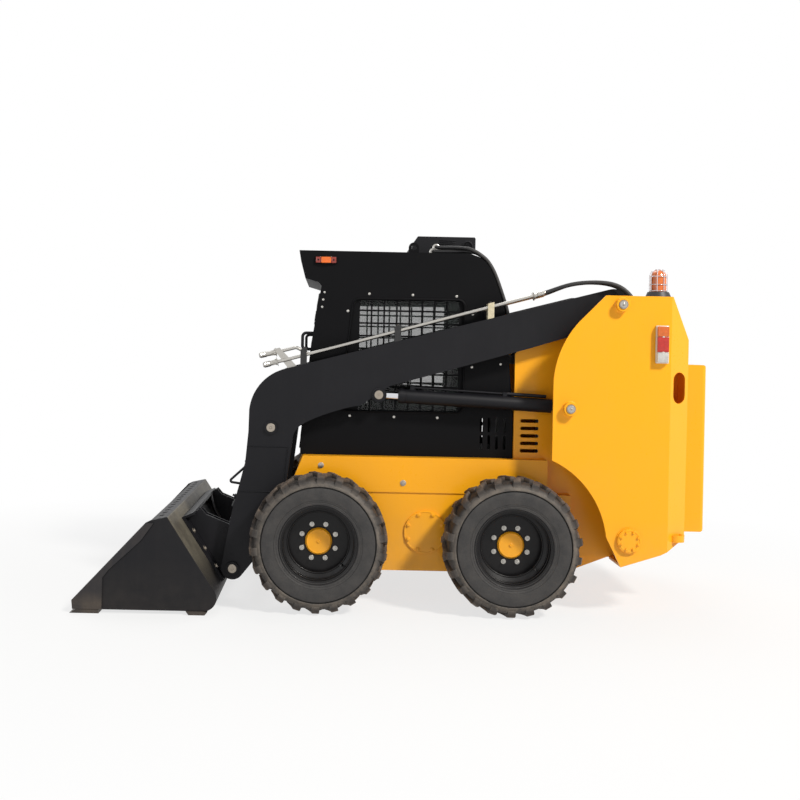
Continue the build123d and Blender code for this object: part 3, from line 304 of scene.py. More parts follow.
def finish(name, colour, dusty, dust, low, rough, metallic=0.0, streaks=0.5, ground=0.55,
           grain=0.0, grain_scale=250.0, coat=0.0, specular=0.5):
    """A weathered opaque finish: base colour, dust over it and a fine grain in its normal."""
    made, tree, shader = new_material(name)
    set_sockets(shader, Metallic=metallic, Coat_Weight=coat, Coat_Roughness=0.12,
                Specular_IOR_Level=specular)
    age = node(tree, "Group", node_tree=weather)
    set_sockets(age, Streaks=streaks, Ground_Height=ground)
    cover = maths(tree, "ADD", maths(tree, "MULTIPLY", age.outputs["Dust"], dust),
                  maths(tree, "MULTIPLY", age.outputs["Low Dirt"], low))
    cover = maths(tree, "MINIMUM", cover, MOST_DUST)
    gloss = maths(tree, "ADD", remap(tree, age.outputs["Fine"], 0.3, 0.7, *rough),
                  maths(tree, "MULTIPLY", cover, 0.4))
    wire(tree, (blend_colours(tree, cover, colour, dusty), shader.inputs["Base Color"]),
         (gloss, shader.inputs["Roughness"]))
    if grain:
        add_bump(tree, shader, noise(tree, object_coords(tree), grain_scale, 2.0), grain, 0.0004)
    return made


print("finish recipe ready")

# %% [markdown]
# ## The finishes
#
# Orange gloss covers the body, satin black the arms, cab and bucket. The sizes of the blotches and
# the amount of dust differ, because a smooth door sheds dirt that a tyre holds.

# %% Painted and plated steel, rubber and plastic
ORANGE, BLACK = "fbad14", "0e0e12"
FINISHES = (
    # name, colour, colour of its dust, dust, low dirt, roughness range, and what else it has
    ("orange_gloss", ORANGE, "9c8a74", 0.05, 0.25, (0.26, 0.36),
     dict(coat=0.1, grain=0.15, grain_scale=500.0, streaks=0.25, specular=0.28)),
    ("black_satin", BLACK, "57545a", 0.035, 0.1, (0.4, 0.52),
     dict(grain=0.3, grain_scale=420.0, streaks=0.3, specular=0.22)),
    ("cab_black", "070709", "474549", 0.015, 0.06, (0.46, 0.6),
     dict(grain=0.35, grain_scale=380.0, streaks=0.2, specular=0.1)),
    ("bucket_black", BLACK, "655d56", 0.04, 0.1, (0.42, 0.55),
     dict(grain=0.5, grain_scale=160.0, ground=0.3, specular=0.24)),
    ("worn_steel", "242326", "7a6c5c", 0.16, 0.22, (0.38, 0.55),
     dict(metallic=0.4, grain=0.6, grain_scale=90.0, ground=0.12)),
    ("pin_steel", "a59c90", "6b5e50", 0.3, 0.0, (0.3, 0.45), dict(metallic=0.9, grain=0.3)),
    ("zinc_steel", "b9b6b0", "7a7268", 0.12, 0.0, (0.22, 0.34), dict(metallic=1.0)),
    ("chrome", "d9dadd", "8e8a84", 0.06, 0.0, (0.06, 0.12), dict(metallic=1.0)),
    ("cast_iron", "2c2c2e", "5f564c", 0.5, 0.2, (0.55, 0.7), dict(grain=0.8, grain_scale=200.0)),
    ("hose_black", "18181a", "5e5850", 0.25, 0.0, (0.5, 0.62), dict(grain=0.4, grain_scale=600.0)),
    ("seat_vinyl", "161618", "57524b", 0.12, 0.0, (0.45, 0.6), dict(grain=0.6, grain_scale=700.0)),
    ("grip_plastic", "1b1b1d", "5a554e", 0.15, 0.0, (0.4, 0.5), {}),
    ("label_white", "dedbd2", "8d857a", 0.12, 0.0, (0.4, 0.5), {}),
    ("rim_black", "0b0a0c", "4c4742", 0.05, 0.06, (0.3, 0.42),
     dict(grain=0.2, grain_scale=300.0, specular=0.26)),
)
finishes = {row[0]: finish(*row[:-1], **row[-1]) for row in FINISHES}
print(len(finishes), "weathered finishes")

# %% Lenses and panes
def lens(name, colour, glow):
    """Moulded lens plastic: deep colour, a clear coat and a little inner glow."""
    made, tree, shader = new_material(name)
    rich = linear(colour)
    deep = tuple(c * 0.75 for c in rich[:3]) + (1.0,)
    shade = remap(tree, noise(tree, object_coords(tree), 60.0, 3.0), 0.3, 0.7)
    wire(tree, (blend_colours(tree, shade, rich, deep), shader.inputs["Base Color"]))
    set_sockets(shader, Roughness=0.12, Coat_Weight=0.6, Emission_Color=rich,
                Emission_Strength=glow)
    return made


def window(name, colour, alpha):
    """A tinted pane: alpha is how much of it stops light, and faint smears break up its gloss."""
    made, tree, shader = new_material(name)
    smear = remap(tree, noise(tree, object_coords(tree), 4.0, 5.0), 0.35, 0.75, 0.02, 0.06)
    wire(tree, (smear, shader.inputs["Roughness"]))
    set_sockets(shader, Base_Color=linear(colour), Alpha=alpha, IOR=1.5)
    return made


for name, colour, glow in (("amber_lens", "e0701c", 0.06), ("amber_bright", "ee7210", 0.12),
                           ("marker_red", "8e2410", 0.02), ("red_lens", "c8281c", 0.05),
                           ("clear_lens", "d8d6d2", 0.0)):
    finishes[name] = lens(name, colour, glow)
for name, colour, alpha in (("tinted_glass", "1d2422", 0.38), ("side_window", "2a3230", 0.28)):
    finishes[name] = window(name, colour, alpha)
print("lenses and panes mixed")

# %% Clamp paint and the bucket's dusty back
def clamp_finish():
    """Pipe clamps: the rear one is cream plastic, the others are painted black."""
    made, tree, shader = new_material("clamp_paint")
    coords = object_coords(tree)
    rear = remap(tree, split_axes(tree, coords)["X"], -0.30, -0.31)
    grime = remap(tree, noise(tree, coords, 60.0, 5.0), 0.4, 0.7, 0.0, 0.5)
    cream = blend_colours(tree, grime, "d2c8ab", "8a7f6a")
    black = blend_colours(tree, grime, "0d0d0f", "2a2826")
    wire(tree, (blend_colours(tree, rear, black, cream), shader.inputs["Base Color"]),
         (remap(tree, noise(tree, coords, 200.0, 2.0), 0.3, 0.7, 0.42, 0.6),
          shader.inputs["Roughness"]))
    return made


def dust_back_wall(made):
    """Khaki dust on the outer face of the bucket's sloping back wall, thinner towards its heel."""
    tree = made.node_tree
    base = tree.nodes["Principled BSDF"].inputs["Base Color"]
    painted = base.links[0].from_socket
    coords = object_coords(tree)
    axes = split_axes(tree, coords)
    # the wall leans 56.7 degrees, and its outer face lies at -0.7742 along its own normal
    depth = maths(tree, "ADD", maths(tree, "MULTIPLY", axes["X"], -0.8357),
                  maths(tree, "MULTIPLY", axes["Z"], 0.5492))
    face = remap(tree, depth, -0.7782, -0.7752)
    rise = remap(tree, axes["Z"], 0.14, 0.36)
    patches = remap(tree, noise(tree, coords, 6.0, 5.0), 0.32, 0.6, 0.45, 1.0)
    amount = maths(tree, "MULTIPLY", maths(tree, "MULTIPLY", face, rise),
                   maths(tree, "MULTIPLY", patches, 0.5))
    wire(tree, (blend_colours(tree, amount, painted, "857e6d"), base))


finishes["clamp_paint"] = clamp_finish()
dust_back_wall(finishes["bucket_black"])
print("clamps painted, bucket dusted")

# %% Tyre rubber
def tyre_finish():
    """Rubber whose dust and painted shade follow the distance from the axle, kept as an attribute
    of each tyre.
    """
    made, tree, shader = new_material("tyre_rubber")
    coords = object_coords(tree)
    reach = node(tree, "Attribute", attribute_name="from_axle").outputs["Fac"]
    ragged = maths(tree, "ADD", reach,
                   remap(tree, noise(tree, coords, 34.0, 5.0), 0.3, 0.7, -0.006, 0.006))
    blotch = remap(tree, noise(tree, coords, 13.0, 7.0), 0.36, 0.68)
    fine = noise(tree, coords, 150.0, 3.0)

    def band(radius, rise, fall):
        """A ring that fades in over one pair of radii and out over another."""
        return maths(tree, "MULTIPLY", remap(tree, radius, *rise), remap(tree, radius, *fall))

    rib = band(ragged, (0.316, 0.324), (0.352, 0.338))
    # painted shade: a near-black ring darkens the groove at the guard rib's inner edge, where its
    # undercut lies in shadow
    groove = band(reach, (0.3135, 0.3155), (0.3225, 0.3205))
    # painted shade: a dark band over the carcass floor between the lugs and the feet of their
    # sides, where the gaps lie in shadow
    shade_between_lugs = band(reach, (0.3775, 0.3690), (0.352, 0.360))
    side = blend_colours(tree, maths(tree, "MULTIPLY", blotch, 0.3), "2b2a2a", "524e4b")
    rubbed = maths(tree, "MULTIPLY", rib, remap(tree, blotch, 0, 1, 0.15, 0.55))
    ribbed = blend_colours(tree, rubbed, side, "877c70")
    lug = blend_colours(tree, blotch, "362d28", "6c5e52")
    colour = blend_colours(tree, remap(tree, ragged, 0.345, 0.372), ribbed, lug)
    # both bands are painted shade laid over the rubber's dust colours
    for amount, strength, shade_tone in ((shade_between_lugs, 0.75, "1d1a18"), (groove, 0.9, "0b0b0c")):
        colour = blend_colours(tree, maths(tree, "MULTIPLY", amount, strength), colour, shade_tone)
    wire(tree, (colour, shader.inputs["Base Color"]),
         (remap(tree, fine, 0.3, 0.7, 0.62, 0.82), shader.inputs["Roughness"]))
    add_bump(tree, shader, fine, 0.5, 0.0006)
    return made


finishes["tyre_rubber"] = tyre_finish()
print("tyre rubber mixed")

# %% Dress the frame
DRESS = {
    "orange_gloss": ("main_frame", "fenders", "tower_left", "tower_right", "rear_door", "hood"),
    "cab_black": ("cab_sides", "cab_shell", "cab_posts", "cab_floor", "side_mesh", "seat_base",
                  "door_frame"),
    "black_satin": ("axle_tubes", "rear_frame", "boom_left", "boom_right", "cross_tube",
                    "ac_unit", "grab_handles", "lift_barrel_left", "lift_barrel_right",
                    "tilt_barrel_left", "tilt_barrel_right",
                    "coupler"),
    "bucket_black": ("bucket_shell",),
    "worn_steel": ("bucket_edges",),
    "pin_steel": ("tower_pins",),
    "cast_iron": ("engine_block",),
    "chrome": ("lift_rod_left", "lift_rod_right", "tilt_rod_left", "tilt_rod_right"),
    "zinc_steel": ("aux_tubes", "aux_couplers"),
    "clamp_paint": ("tube_clamps",),
    "hose_black": ("ac_hoses", "boom_hoses"),
    "side_window": ("side_glass",),
    "tinted_glass": ("rear_glass", "door_glass"),
    "seat_vinyl": ("seat_cushions",),
    "grip_plastic": ("controls", "beacon_base"),
    "amber_lens": ("beacon_lens", "marker_lamps"),
    "red_lens": ("tail_lamps",),
}
CORNERS = ("front_left", "front_right", "rear_left", "rear_right")


def dress(thing, finish_name):
    thing.data.materials.clear()
    thing.data.materials.append(finishes[finish_name])


for finish_name, names in DRESS.items():
    for name in names:
        dress(nodes[name], finish_name)
for corner in CORNERS:
    dress(nodes["tyre_" + corner], "hose_black")
    dress(nodes["rim_" + corner], "rim_black")
    dress(nodes["hub_" + corner], "orange_gloss")
print(len(finishes), "finishes on", len(nodes), "nodes")

# %% [markdown]
# ## Tyres
#
# A loader tyre is a stiff carcass with deep chevron lugs. A bump pattern could stand for the tread,
# but the lugs make the tyre's outline, so they are real here. The carcass is a profile spun round
# the axle. One lug is a cube, cut into strips and wrapped round the tread, and then copied in turns
# down both sides, half a step apart.


def made_piece(bm, name, finish_name, body="chassis", degrees=35):
    """Turns a bmesh into a smooth piece on a body, sharp where it creases more than an angle."""
    bmesh.ops.recalc_face_normals(bm, faces=bm.faces)
    mesh = bpy.data.meshes.new(name)
    bm.to_mesh(mesh)
    bm.free()
    mesh.shade_smooth()
    if degrees:
        mesh.set_sharp_from_angle(angle=math.radians(degrees))
    mesh.materials.append(finishes[finish_name])
    piece = bpy.data.objects.new(name, mesh)
    scene.collection.objects.link(piece)
    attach(piece, body)
    return piece


# %% Carcass
TREAD_RADIUS = 0.3868
GROOVE_RADIUS = 0.361
SIDE_PROFILE = (
    # radius, out from the middle of the tyre
    (0.2105, 0.100), (0.2120, 0.117), (0.2200, 0.1215), (0.2310, 0.1235), (0.2335, 0.1225),
    (0.2400, 0.1262), (0.2440, 0.1268), (0.2455, 0.1256), (0.2475, 0.1278), (0.2600, 0.1298),
    (0.2850, 0.1316), (0.3050, 0.1312), (0.3140, 0.1290), (0.3165, 0.1210), (0.3195, 0.1210),
    (0.3215, 0.1302), (0.3245, 0.1316), (0.3310, 0.1308), (0.3360, 0.1270),
    (0.3480, 0.1190), (0.3570, 0.1080), (GROOVE_RADIUS, 0.0800), (GROOVE_RADIUS + 0.003, 0.0),
)


def spin_carcass(bm):
    """Spins the whole section, both of its sides, about the Y axis."""
    section = list(SIDE_PROFILE) + [(r, -y) for r, y in reversed(SIDE_PROFILE[:-1])]
    made = [bm.verts.new((r, y, 0)) for r, y in section]
    edges = [bm.edges.new(pair) for pair in zip(made, made[1:])]
    bmesh.ops.spin(bm, geom=made + edges, cent=(0, 0, 0), axis=(0, 1, 0), angle=math.tau,
                   steps=120, use_merge=True)


print("carcass section:", 2 * len(SIDE_PROFILE) - 1, "points")

# %% Lugs
LUGS = 22
LUG_ROUNDING = 0.0022


def one_lug(side, turn):
    """One tread block from the shoulder past the middle, wrapped round the tread."""
    bm = bmesh.new()
    bmesh.ops.create_cube(bm, size=1.0)
    lengthwise = [e for e in bm.edges if abs(e.verts[0].co.y - e.verts[1].co.y) > 0.5]
    bmesh.ops.subdivide_edges(bm, edges=lengthwise, cuts=6, use_grid_fill=True)
    for vert in bm.verts:
        along, across, up = vert.co
        t = across + 0.5
        shoulder = max(0.0, (t - 0.70) / 0.30)
        bend = -0.100 * t + 0.052 * t * t
        if up > 0:
            width = 0.0125 + 0.0085 * t
            out = -0.010 + 0.134 * t
            radius = TREAD_RADIUS - 0.0015 * t - 0.0130 * shoulder ** 1.7
        else:
            width = 0.0165 + 0.0100 * t
            out = -0.014 + 0.141 * t
            radius = GROOVE_RADIUS - 0.010 - 0.030 * shoulder
        angle = turn + (2 * along * width + bend) / TREAD_RADIUS
        vert.co = (radius * math.cos(angle), side * out, radius * math.sin(angle))
    bmesh.ops.recalc_face_normals(bm, faces=bm.faces)
    rims = [e for e in bm.edges if len(e.link_faces) == 2 and e.calc_face_angle(0) > 0.6
            and min(math.hypot(v.co.x, v.co.z) for v in e.verts) > GROOVE_RADIUS + 0.004]
    bmesh.ops.bevel(bm, geom=rims, offset=LUG_ROUNDING, offset_type="OFFSET", segments=2,
                    profile=0.5, affect="EDGES", material=-1, clamp_overlap=True)
    return bm


def add_part(bm, part, matrix=Matrix()):
    """Adds a copy of one bmesh to another, moved by a matrix."""
    shape = bpy.data.meshes.new("part")
    part.to_mesh(shape)
    shape.transform(matrix)
    bm.from_mesh(shape)
    bpy.data.meshes.remove(shape)


def lug_ring():
    """Both rows of lugs, half a step apart, copied round the axle."""
    ring = bmesh.new()
    for side, turn in ((1, 0.0), (-1, math.pi / LUGS)):
        add_part(ring, one_lug(side, turn))
    bmesh.ops.spin(ring, geom=ring.verts[:] + ring.edges[:] + ring.faces[:], cent=(0, 0, 0),
                   axis=(0, 1, 0), angle=math.tau * (LUGS - 1) / LUGS, steps=LUGS - 1,
                   use_duplicate=True)
    return ring


# %% Tyres
def tyre(corner, lugs):
    """A tyre at its corner, with each point's distance from the axle kept as an attribute."""
    low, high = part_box("tyre_" + corner)
    middle = (low + high) / 2
    bm = bmesh.new()
    spin_carcass(bm)
    add_part(bm, lugs)
    bmesh.ops.translate(bm, verts=bm.verts, vec=middle)
    piece = made_piece(bm, "treaded_tyre_" + corner, "tyre_rubber", "wheel_" + corner, 32)
    reach = piece.data.attributes.new("from_axle", "FLOAT", "POINT")
    reach.data.foreach_set("value", [math.hypot(v.co.x - middle.x, v.co.z - middle.z)
                                     for v in piece.data.vertices])
    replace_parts(piece, "tyre_" + corner)
    return piece


lugs = lug_ring()
for corner in CORNERS:
    made = tyre(corner, lugs)
print("tyre faces:", len(made.data.polygons))

# %% [markdown]
# ## Turned parts, bolts, plates and bent wire
#
# Most small parts of a machine come from a lathe, a plate shop or a wire bender, and each trade has
# its own operator here. A lathe is a spin of half a profile, a bolt is a six-sided cone with its
# crown bevelled, a plate is an outline pulled up by its thickness, and a wire is one circle carried
# from point to point and bridged. A curve with a bevel would make the wire too, but a mesh joins
# the rest of its piece.

# %% Placing and turning
LEFT = Vector((0, 1, 0))


def place(bm, part, at=(0, 0, 0), toward=None, turn=0.0):
    """Adds a part, made along Z, at a place and turned towards a direction."""
    matrix = Matrix.Translation(at)
    if toward is not None:
        matrix = matrix @ Vector(toward).to_track_quat("Z", "Y").to_matrix().to_4x4()
    add_part(bm, part, matrix @ Matrix.Rotation(turn, 4, "Z"))


def lathe(points, steps=32, closed=False):
    """A turned part: (radius, height) points spun about Z, which close at the axis or as a ring."""
    part = bmesh.new()
    made = [part.verts.new((r, 0, z)) for r, z in points]
    for pair in zip(made, made[1:] + (made[:1] if closed else [])):
        part.edges.new(pair)
    bmesh.ops.spin(part, geom=part.verts[:] + part.edges[:], cent=(0, 0, 0), axis=(0, 0, 1),
                   angle=math.tau, steps=steps, use_merge=True)
    bmesh.ops.remove_doubles(part, verts=part.verts, dist=1e-6)
    bmesh.ops.recalc_face_normals(part, faces=part.faces)
    return part


def round_ring(reach, bead, steps, sides=8, lift=0.0, rise=None):
    """A thin bar bent into a ring about Z, flattened where it has its own rise."""
    rise = bead if rise is None else rise
    turns = [a * math.tau / sides for a in range(sides)]
    return lathe([(reach + bead * math.cos(a), lift + rise * math.sin(a)) for a in turns], steps,
                 closed=True)


# %% Bolts
def hex_bolt(across, height, stud=0.0):
    """A hexagon head with a bevelled crown on a round washer, and a stud end if it is a nut."""
    part = lathe(((0, 0), (across * 0.86, 0), (across * 0.86, height * 0.16),
                  (across * 0.8, height * 0.22), (0, height * 0.22)), 20)
    head = bmesh.new()
    bmesh.ops.create_cone(head, cap_ends=True, segments=6, radius1=across * 0.577,
                          radius2=across * 0.577, depth=height * 0.8)
    crown = [e for e in head.edges if all(v.co.z > 0 for v in e.verts)]
    bmesh.ops.bevel(head, geom=crown, offset=across * 0.08, segments=2, profile=0.5,
                    affect="EDGES", material=-1)
    place(part, head, (0, 0, height * 0.6))
    if stud:
        end = stud + across * 0.06
        place(part, lathe(((0, 0), (across * 0.3, 0), (across * 0.3, stud), (across * 0.24, end),
                           (0, end)), 14), (0, 0, height))
    return part


# %% Plates
def moved_verts(made):
    return [item for item in made if isinstance(item, bmesh.types.BMVert)]


def add_slab(bm, outline, y, thickness, rounding=0.0):
    """Adds a plate of an (x, z) outline, from a height on Y up by its thickness."""
    part = bmesh.new()
    face = part.faces.new([part.verts.new((x, 0, z)) for x, z in outline])
    pulled = bmesh.ops.extrude_face_region(part, geom=[face])["geom"]
    bmesh.ops.translate(part, verts=moved_verts(pulled), vec=(0, thickness, 0))
    bmesh.ops.recalc_face_normals(part, faces=part.faces)
    if rounding:
        bmesh.ops.bevel(part, geom=part.edges[:], offset=rounding, segments=2, profile=0.5,
                        affect="EDGES", material=-1, clamp_overlap=True)
    bmesh.ops.translate(part, verts=part.verts, vec=(0, y, 0))
    place(bm, part)


def block(bm, low, high, rounding=0.003):
    """A bevelled block between two corners."""
    outline = ((low[0], low[2]), (high[0], low[2]), (high[0], high[2]), (low[0], high[2]))
    add_slab(bm, outline, low[1], high[1] - low[1], rounding)


# %% Bent wire
def bent_wire(points, radius, sides=10, closed=False):
    """A round bar through points: a circle is carried along and bridged."""
    part = bmesh.new()
    points = [Vector(p) for p in points]
    count = len(points)
    turn, last, rings = None, None, []
    for i, at in enumerate(points):
        before = points[i - 1] if i or closed else at
        after = points[(i + 1) % count] if i + 1 < count or closed else at
        way = (after - before).normalized()
        if turn is None:
            turn = way.to_track_quat("Z", "Y")
        else:
            turn = last.rotation_difference(way) @ turn
        last = way
        made = bmesh.ops.create_circle(part, segments=sides, radius=radius,
                                       matrix=Matrix.Translation(at) @ turn.to_matrix().to_4x4())
        rings.append({e for v in made["verts"] for e in v.link_edges})
    for first, second in zip(rings, rings[1:] + (rings[:1] if closed else [])):
        bmesh.ops.bridge_loops(part, edges=list(first | second))
    if not closed:
        bmesh.ops.holes_fill(part, edges=list(rings[0] | rings[-1]), sides=0)
    bmesh.ops.recalc_face_normals(part, faces=part.faces)
    return part


def both_sides(bm):
    """Copies everything to the machine's other side."""
    twin = bmesh.ops.duplicate(bm, geom=bm.verts[:] + bm.edges[:] + bm.faces[:])["geom"]
    bmesh.ops.scale(bm, verts=moved_verts(twin), vec=(1, -1, 1))
    bmesh.ops.reverse_faces(bm, faces=[f for f in twin if isinstance(f, bmesh.types.BMFace)])


print("workshop ready")

# %% [markdown]
# ## Wheel furniture
#
# Each wheel is held by eight flanged nuts on a 203.2 mm circle. The rolled rim has beads that catch
# the light, and a valve stands in its dish. They are small, but a wheel looks like a toy without
# them. Each kind is one piece per wheel, so that it turns with the wheel.

# %% Wheel nuts, rim beads and valves
BOLT_CIRCLE = 0.1016
EIGHTHS = [math.radians(22.5 + 45 * step) for step in range(8)]
RIM_BEADS = (
    # radius, out from the middle, bead radius
    (0.2195, 0.1175, 0.0055), (0.2000, 0.0850, 0.0040), (0.2000, 0.0420, 0.0050),
    (0.1735, 0.0200, 0.0060), (0.0795, -0.0170, 0.0018),
)
VALVE = ((0, 0), (0.009, 0), (0.008, 0.008), (0.0045, 0.012), (0.0045, 0.032), (0.0062, 0.033),
         (0.0062, 0.044), (0.005, 0.047), (0, 0.047))
PLUG = ((0, 0), (0.011, 0), (0.011, 0.003), (0.008, 0.005), (0.004, 0.005), (0.003, 0.0035),
        (0, 0.0035))
nut = hex_bolt(0.017, 0.015, 0.009)
for corner in CORNERS:
    low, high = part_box("tyre_" + corner)
    centre = (low + high) / 2
    side = 1 if centre.y > 0 else -1
    outward = LEFT * side
    nuts, beads, valve, plug = (bmesh.new() for kind in range(4))
    for step, angle in enumerate(EIGHTHS):
        at = Vector((BOLT_CIRCLE * math.cos(angle), side * -0.018, BOLT_CIRCLE * math.sin(angle)))
        place(nuts, nut, centre + at, outward, 0.4 * step)
    for radius, out, bead in RIM_BEADS:
        place(beads, round_ring(radius, bead, 96), centre + outward * out, outward)
    place(valve, lathe(VALVE, 18), centre + Vector((-0.130, side * 0.027, -0.123)),
          outward + Vector((0.10, 0, 0.10)))
    place(plug, lathe(PLUG, 24), centre + outward * -0.004, outward)
    place(plug, round_ring(0.066, 0.0022, 64), centre + outward * -0.0045, outward)
    for bm, name, finish_name, degrees in ((nuts, "wheel_nuts_", "zinc_steel", 35),
                                           (beads, "rim_beads_", "rim_black", 60),
                                           (valve, "valve_", "grip_plastic", 35),
                                           (plug, "hub_plug_", "orange_gloss", 35)):
        made_piece(bm, name + corner, finish_name, "wheel_" + corner, degrees)
print("wheel furniture on", len(CORNERS), "wheels")

# %% [markdown]
# ## Tower bosses, lamps and beacon
#
# The pins end in welded bosses with a grease nipple. The tail lamp is a pale tray with an amber, a
# red and a clear lens whose ribs run upright, the marker lamp has a bright middle between dark red
# ends, and the beacon sits in a wire guard that saves it from branches. Ribs could be a bump, but
# they show in the lamps' outlines, so they are bars sunk into each lens.

# %% Bosses
SKIN_Y, BOSS_Y = 0.745, 0.790
PINS = ((-1.217, 1.749), (-0.937, 1.162))
boss_ring = lathe(((0.0256, 0.0), (0.0450, 0.0), (0.0425, 0.0015), (0.0390, 0.0050),
                   (0.0388, 0.0375), (0.0365, 0.0400), (0.0270, 0.0400), (0.0256, 0.0385)), 40,
                  closed=True)
pin_cap = lathe(((0, 0), (0.0200, 0), (0.0190, 0.0015), (0.0070, 0.0015), (0.0060, 0.0060),
                 (0.0035, 0.0070), (0.0035, 0.0100), (0.0050, 0.0115), (0.0030, 0.0150),
                 (0, 0.0150)), 24)
for name, part, y, finish_name in (("boss_rings", boss_ring, SKIN_Y, "orange_gloss"),
                                   ("pin_caps", pin_cap, BOSS_Y, "zinc_steel")):
    bm = bmesh.new()
    for x, z in PINS:
        place(bm, part, (x, y, z), LEFT)
    both_sides(bm)
    made_piece(bm, name, finish_name)
print("bosses on", 2 * len(PINS), "pins")

# %% Tail lamps
TAIL_LENSES = (
    # finish, bottom, top
    ("amber_lens", 1.575, 1.632), ("red_lens", 1.489, 1.573), ("clear_lens", 1.431, 1.487),
)
tray = bmesh.new()
block(tray, (-1.480, SKIN_Y, 1.426), (-1.408, SKIN_Y + 0.022, 1.637), 0.004)
for z in (1.5740, 1.4880):
    place(tray, hex_bolt(0.008, 0.004), (-1.444, SKIN_Y + 0.0345, z), LEFT)
both_sides(tray)
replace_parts(made_piece(tray, "lamp_trays", "label_white"), "tail_lamps")
for finish_name, bottom, top in TAIL_LENSES:
    bm = bmesh.new()
    block(bm, (-1.476, SKIN_Y + 0.020, bottom), (-1.412, SKIN_Y + 0.036, top), 0.003)
    for step in range(9):
        x, y = -1.471 + step * 0.0067, SKIN_Y + 0.0355
        place(bm, bent_wire(((x, y, bottom + 0.004), (x, y, top - 0.004)), 0.0026, 8))
    both_sides(bm)
    made_piece(bm, "tail_" + finish_name, finish_name)
print("tail lamps:", len(TAIL_LENSES), "lenses a side")

# %% Marker lamps
CAB_Y = 0.460
frames, middles, ends = (bmesh.new() for kind in range(3))
block(frames, (0.379, CAB_Y, 1.966), (0.507, CAB_Y + 0.010, 2.010), 0.003)
for x in (0.398, 0.488):
    place(frames, hex_bolt(0.006, 0.003), (x, CAB_Y + 0.0175, 1.988), LEFT)
block(middles, (0.414, CAB_Y + 0.008, 1.970), (0.472, CAB_Y + 0.023, 2.006), 0.004)
for step in range(7):
    z = 1.974 + step * 0.0047
    place(middles, bent_wire([(x, CAB_Y + 0.0228, z) for x in (0.417, 0.469)], 0.0016, 8))
for x in (0.383, 0.473):
    block(ends, (x, CAB_Y + 0.008, 1.970), (x + 0.030, CAB_Y + 0.018, 2.006), 0.004)
for bm in (frames, middles, ends):
    both_sides(bm)
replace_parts(made_piece(frames, "marker_frames", "cab_black"), "marker_lamps")
made_piece(middles, "marker_middles", "amber_bright")
made_piece(ends, "marker_ends", "marker_red")
print("marker lamps made")

# %% Beacon
low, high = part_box("beacon_lens")
foot = Vector(((low.x + high.x) / 2, (low.y + high.y) / 2, low.z))
profile = [(0, 0.002), (0.046, 0.002)]
for step in range(19):
    profile.append((0.0455 if step % 2 else 0.0435, 0.006 + step * 0.0048))
profile += [(0.0415, 0.101), (0.0360, 0.111), (0.0270, 0.119), (0.0140, 0.1245), (0, 0.126)]
bm = bmesh.new()
place(bm, lathe(profile, 48), foot)
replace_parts(made_piece(bm, "beacon_dome", "amber_lens", degrees=50), "beacon_lens")


def about_mast(reach, turn, rise):
    """A point at a distance from the beacon's axis, a turn round it and a rise over its foot."""
    return foot + Vector((reach * math.cos(turn), reach * math.sin(turn), rise))


bm = bmesh.new()
GUARD_REACH, GUARD_WIRE = 0.0495, 0.0019
HOOPS = ((0.006, GUARD_REACH), (0.042, GUARD_REACH), (0.088, GUARD_REACH), (0.128, 0.018))
for rise, reach in HOOPS:
    loop = [about_mast(reach, a * math.tau / 32, rise) for a in range(32)]
    place(bm, bent_wire(loop, GUARD_WIRE, 8, closed=True))
RIB = ((GUARD_REACH, 0.002), (GUARD_REACH, 0.050), (GUARD_REACH, 0.096), (0.0455, 0.110),
       (0.0360, 0.120), (0.0260, 0.1265), (0.018, 0.129))
for turn in EIGHTHS:
    place(bm, bent_wire([about_mast(reach, turn, rise) for reach, rise in RIB], GUARD_WIRE, 8))
made_piece(bm, "beacon_guard", "chrome", degrees=60)
print("beacon and guard made")

# %% [markdown]
# ## The cab
#
# A pressed cab is held together by small screws and its panes sit in black rubber. The cooling unit
# on the roof has a grille, a round vent and two threaded unions for its hoses. A wiper hangs on the
# door. The rubber could be cut from a plate, but a bar led round the window's outline has the round
# section of the real one.

# %% Cab screws
SCREWS = ((0.186, 1.796), (-0.069, 1.794), (-0.325, 1.791), (0.309, 1.693), (-0.422, 1.688),
          (0.286, 1.081), (0.027, 1.079), (-0.226, 1.079), (-0.422, 1.380), (-0.422, 1.180))
SMALL_SCREWS = ((0.448, 1.800), (0.455, 1.757), (0.460, 1.714), (-0.560, 1.650), (-0.590, 1.400))
bm = bmesh.new()
for spots, screw in ((SCREWS, hex_bolt(0.0085, 0.004)), (SMALL_SCREWS, hex_bolt(0.0075, 0.0035))):
    for x, z in spots:
        place(bm, screw, (x, CAB_Y, z), LEFT, x)
both_sides(bm)
made_piece(bm, "cab_screws", "zinc_steel")
print("cab screws:", 2 * (len(SCREWS) + len(SMALL_SCREWS)))

# %% Window rubber
WINDOW = ((0.279, 1.765), (-0.375, 1.770), (-0.375, 1.110), (0.343, 1.107))


def rounded_outline(corners, radius, segments=6):
    """The corner points of a flat outline after its corners are bevelled."""
    sheet = bmesh.new()
    face = sheet.faces.new([sheet.verts.new(point) for point in corners])
    bmesh.ops.bevel(sheet, geom=sheet.verts[:], offset=radius, segments=segments, profile=0.5,
                    affect="VERTICES", material=-1)
    sheet.faces.ensure_lookup_table()
    outline = [v.co.copy() for v in sheet.faces[0].verts]
    sheet.free()
    return outline


bm = bmesh.new()
outline = rounded_outline([(x, CAB_Y, z) for x, z in WINDOW], 0.040)
place(bm, bent_wire(outline, 0.0065, 10, closed=True))
both_sides(bm)
made_piece(bm, "window_rubber", "cab_black", degrees=60)
print("window rubber:", len(outline), "points round the pane")

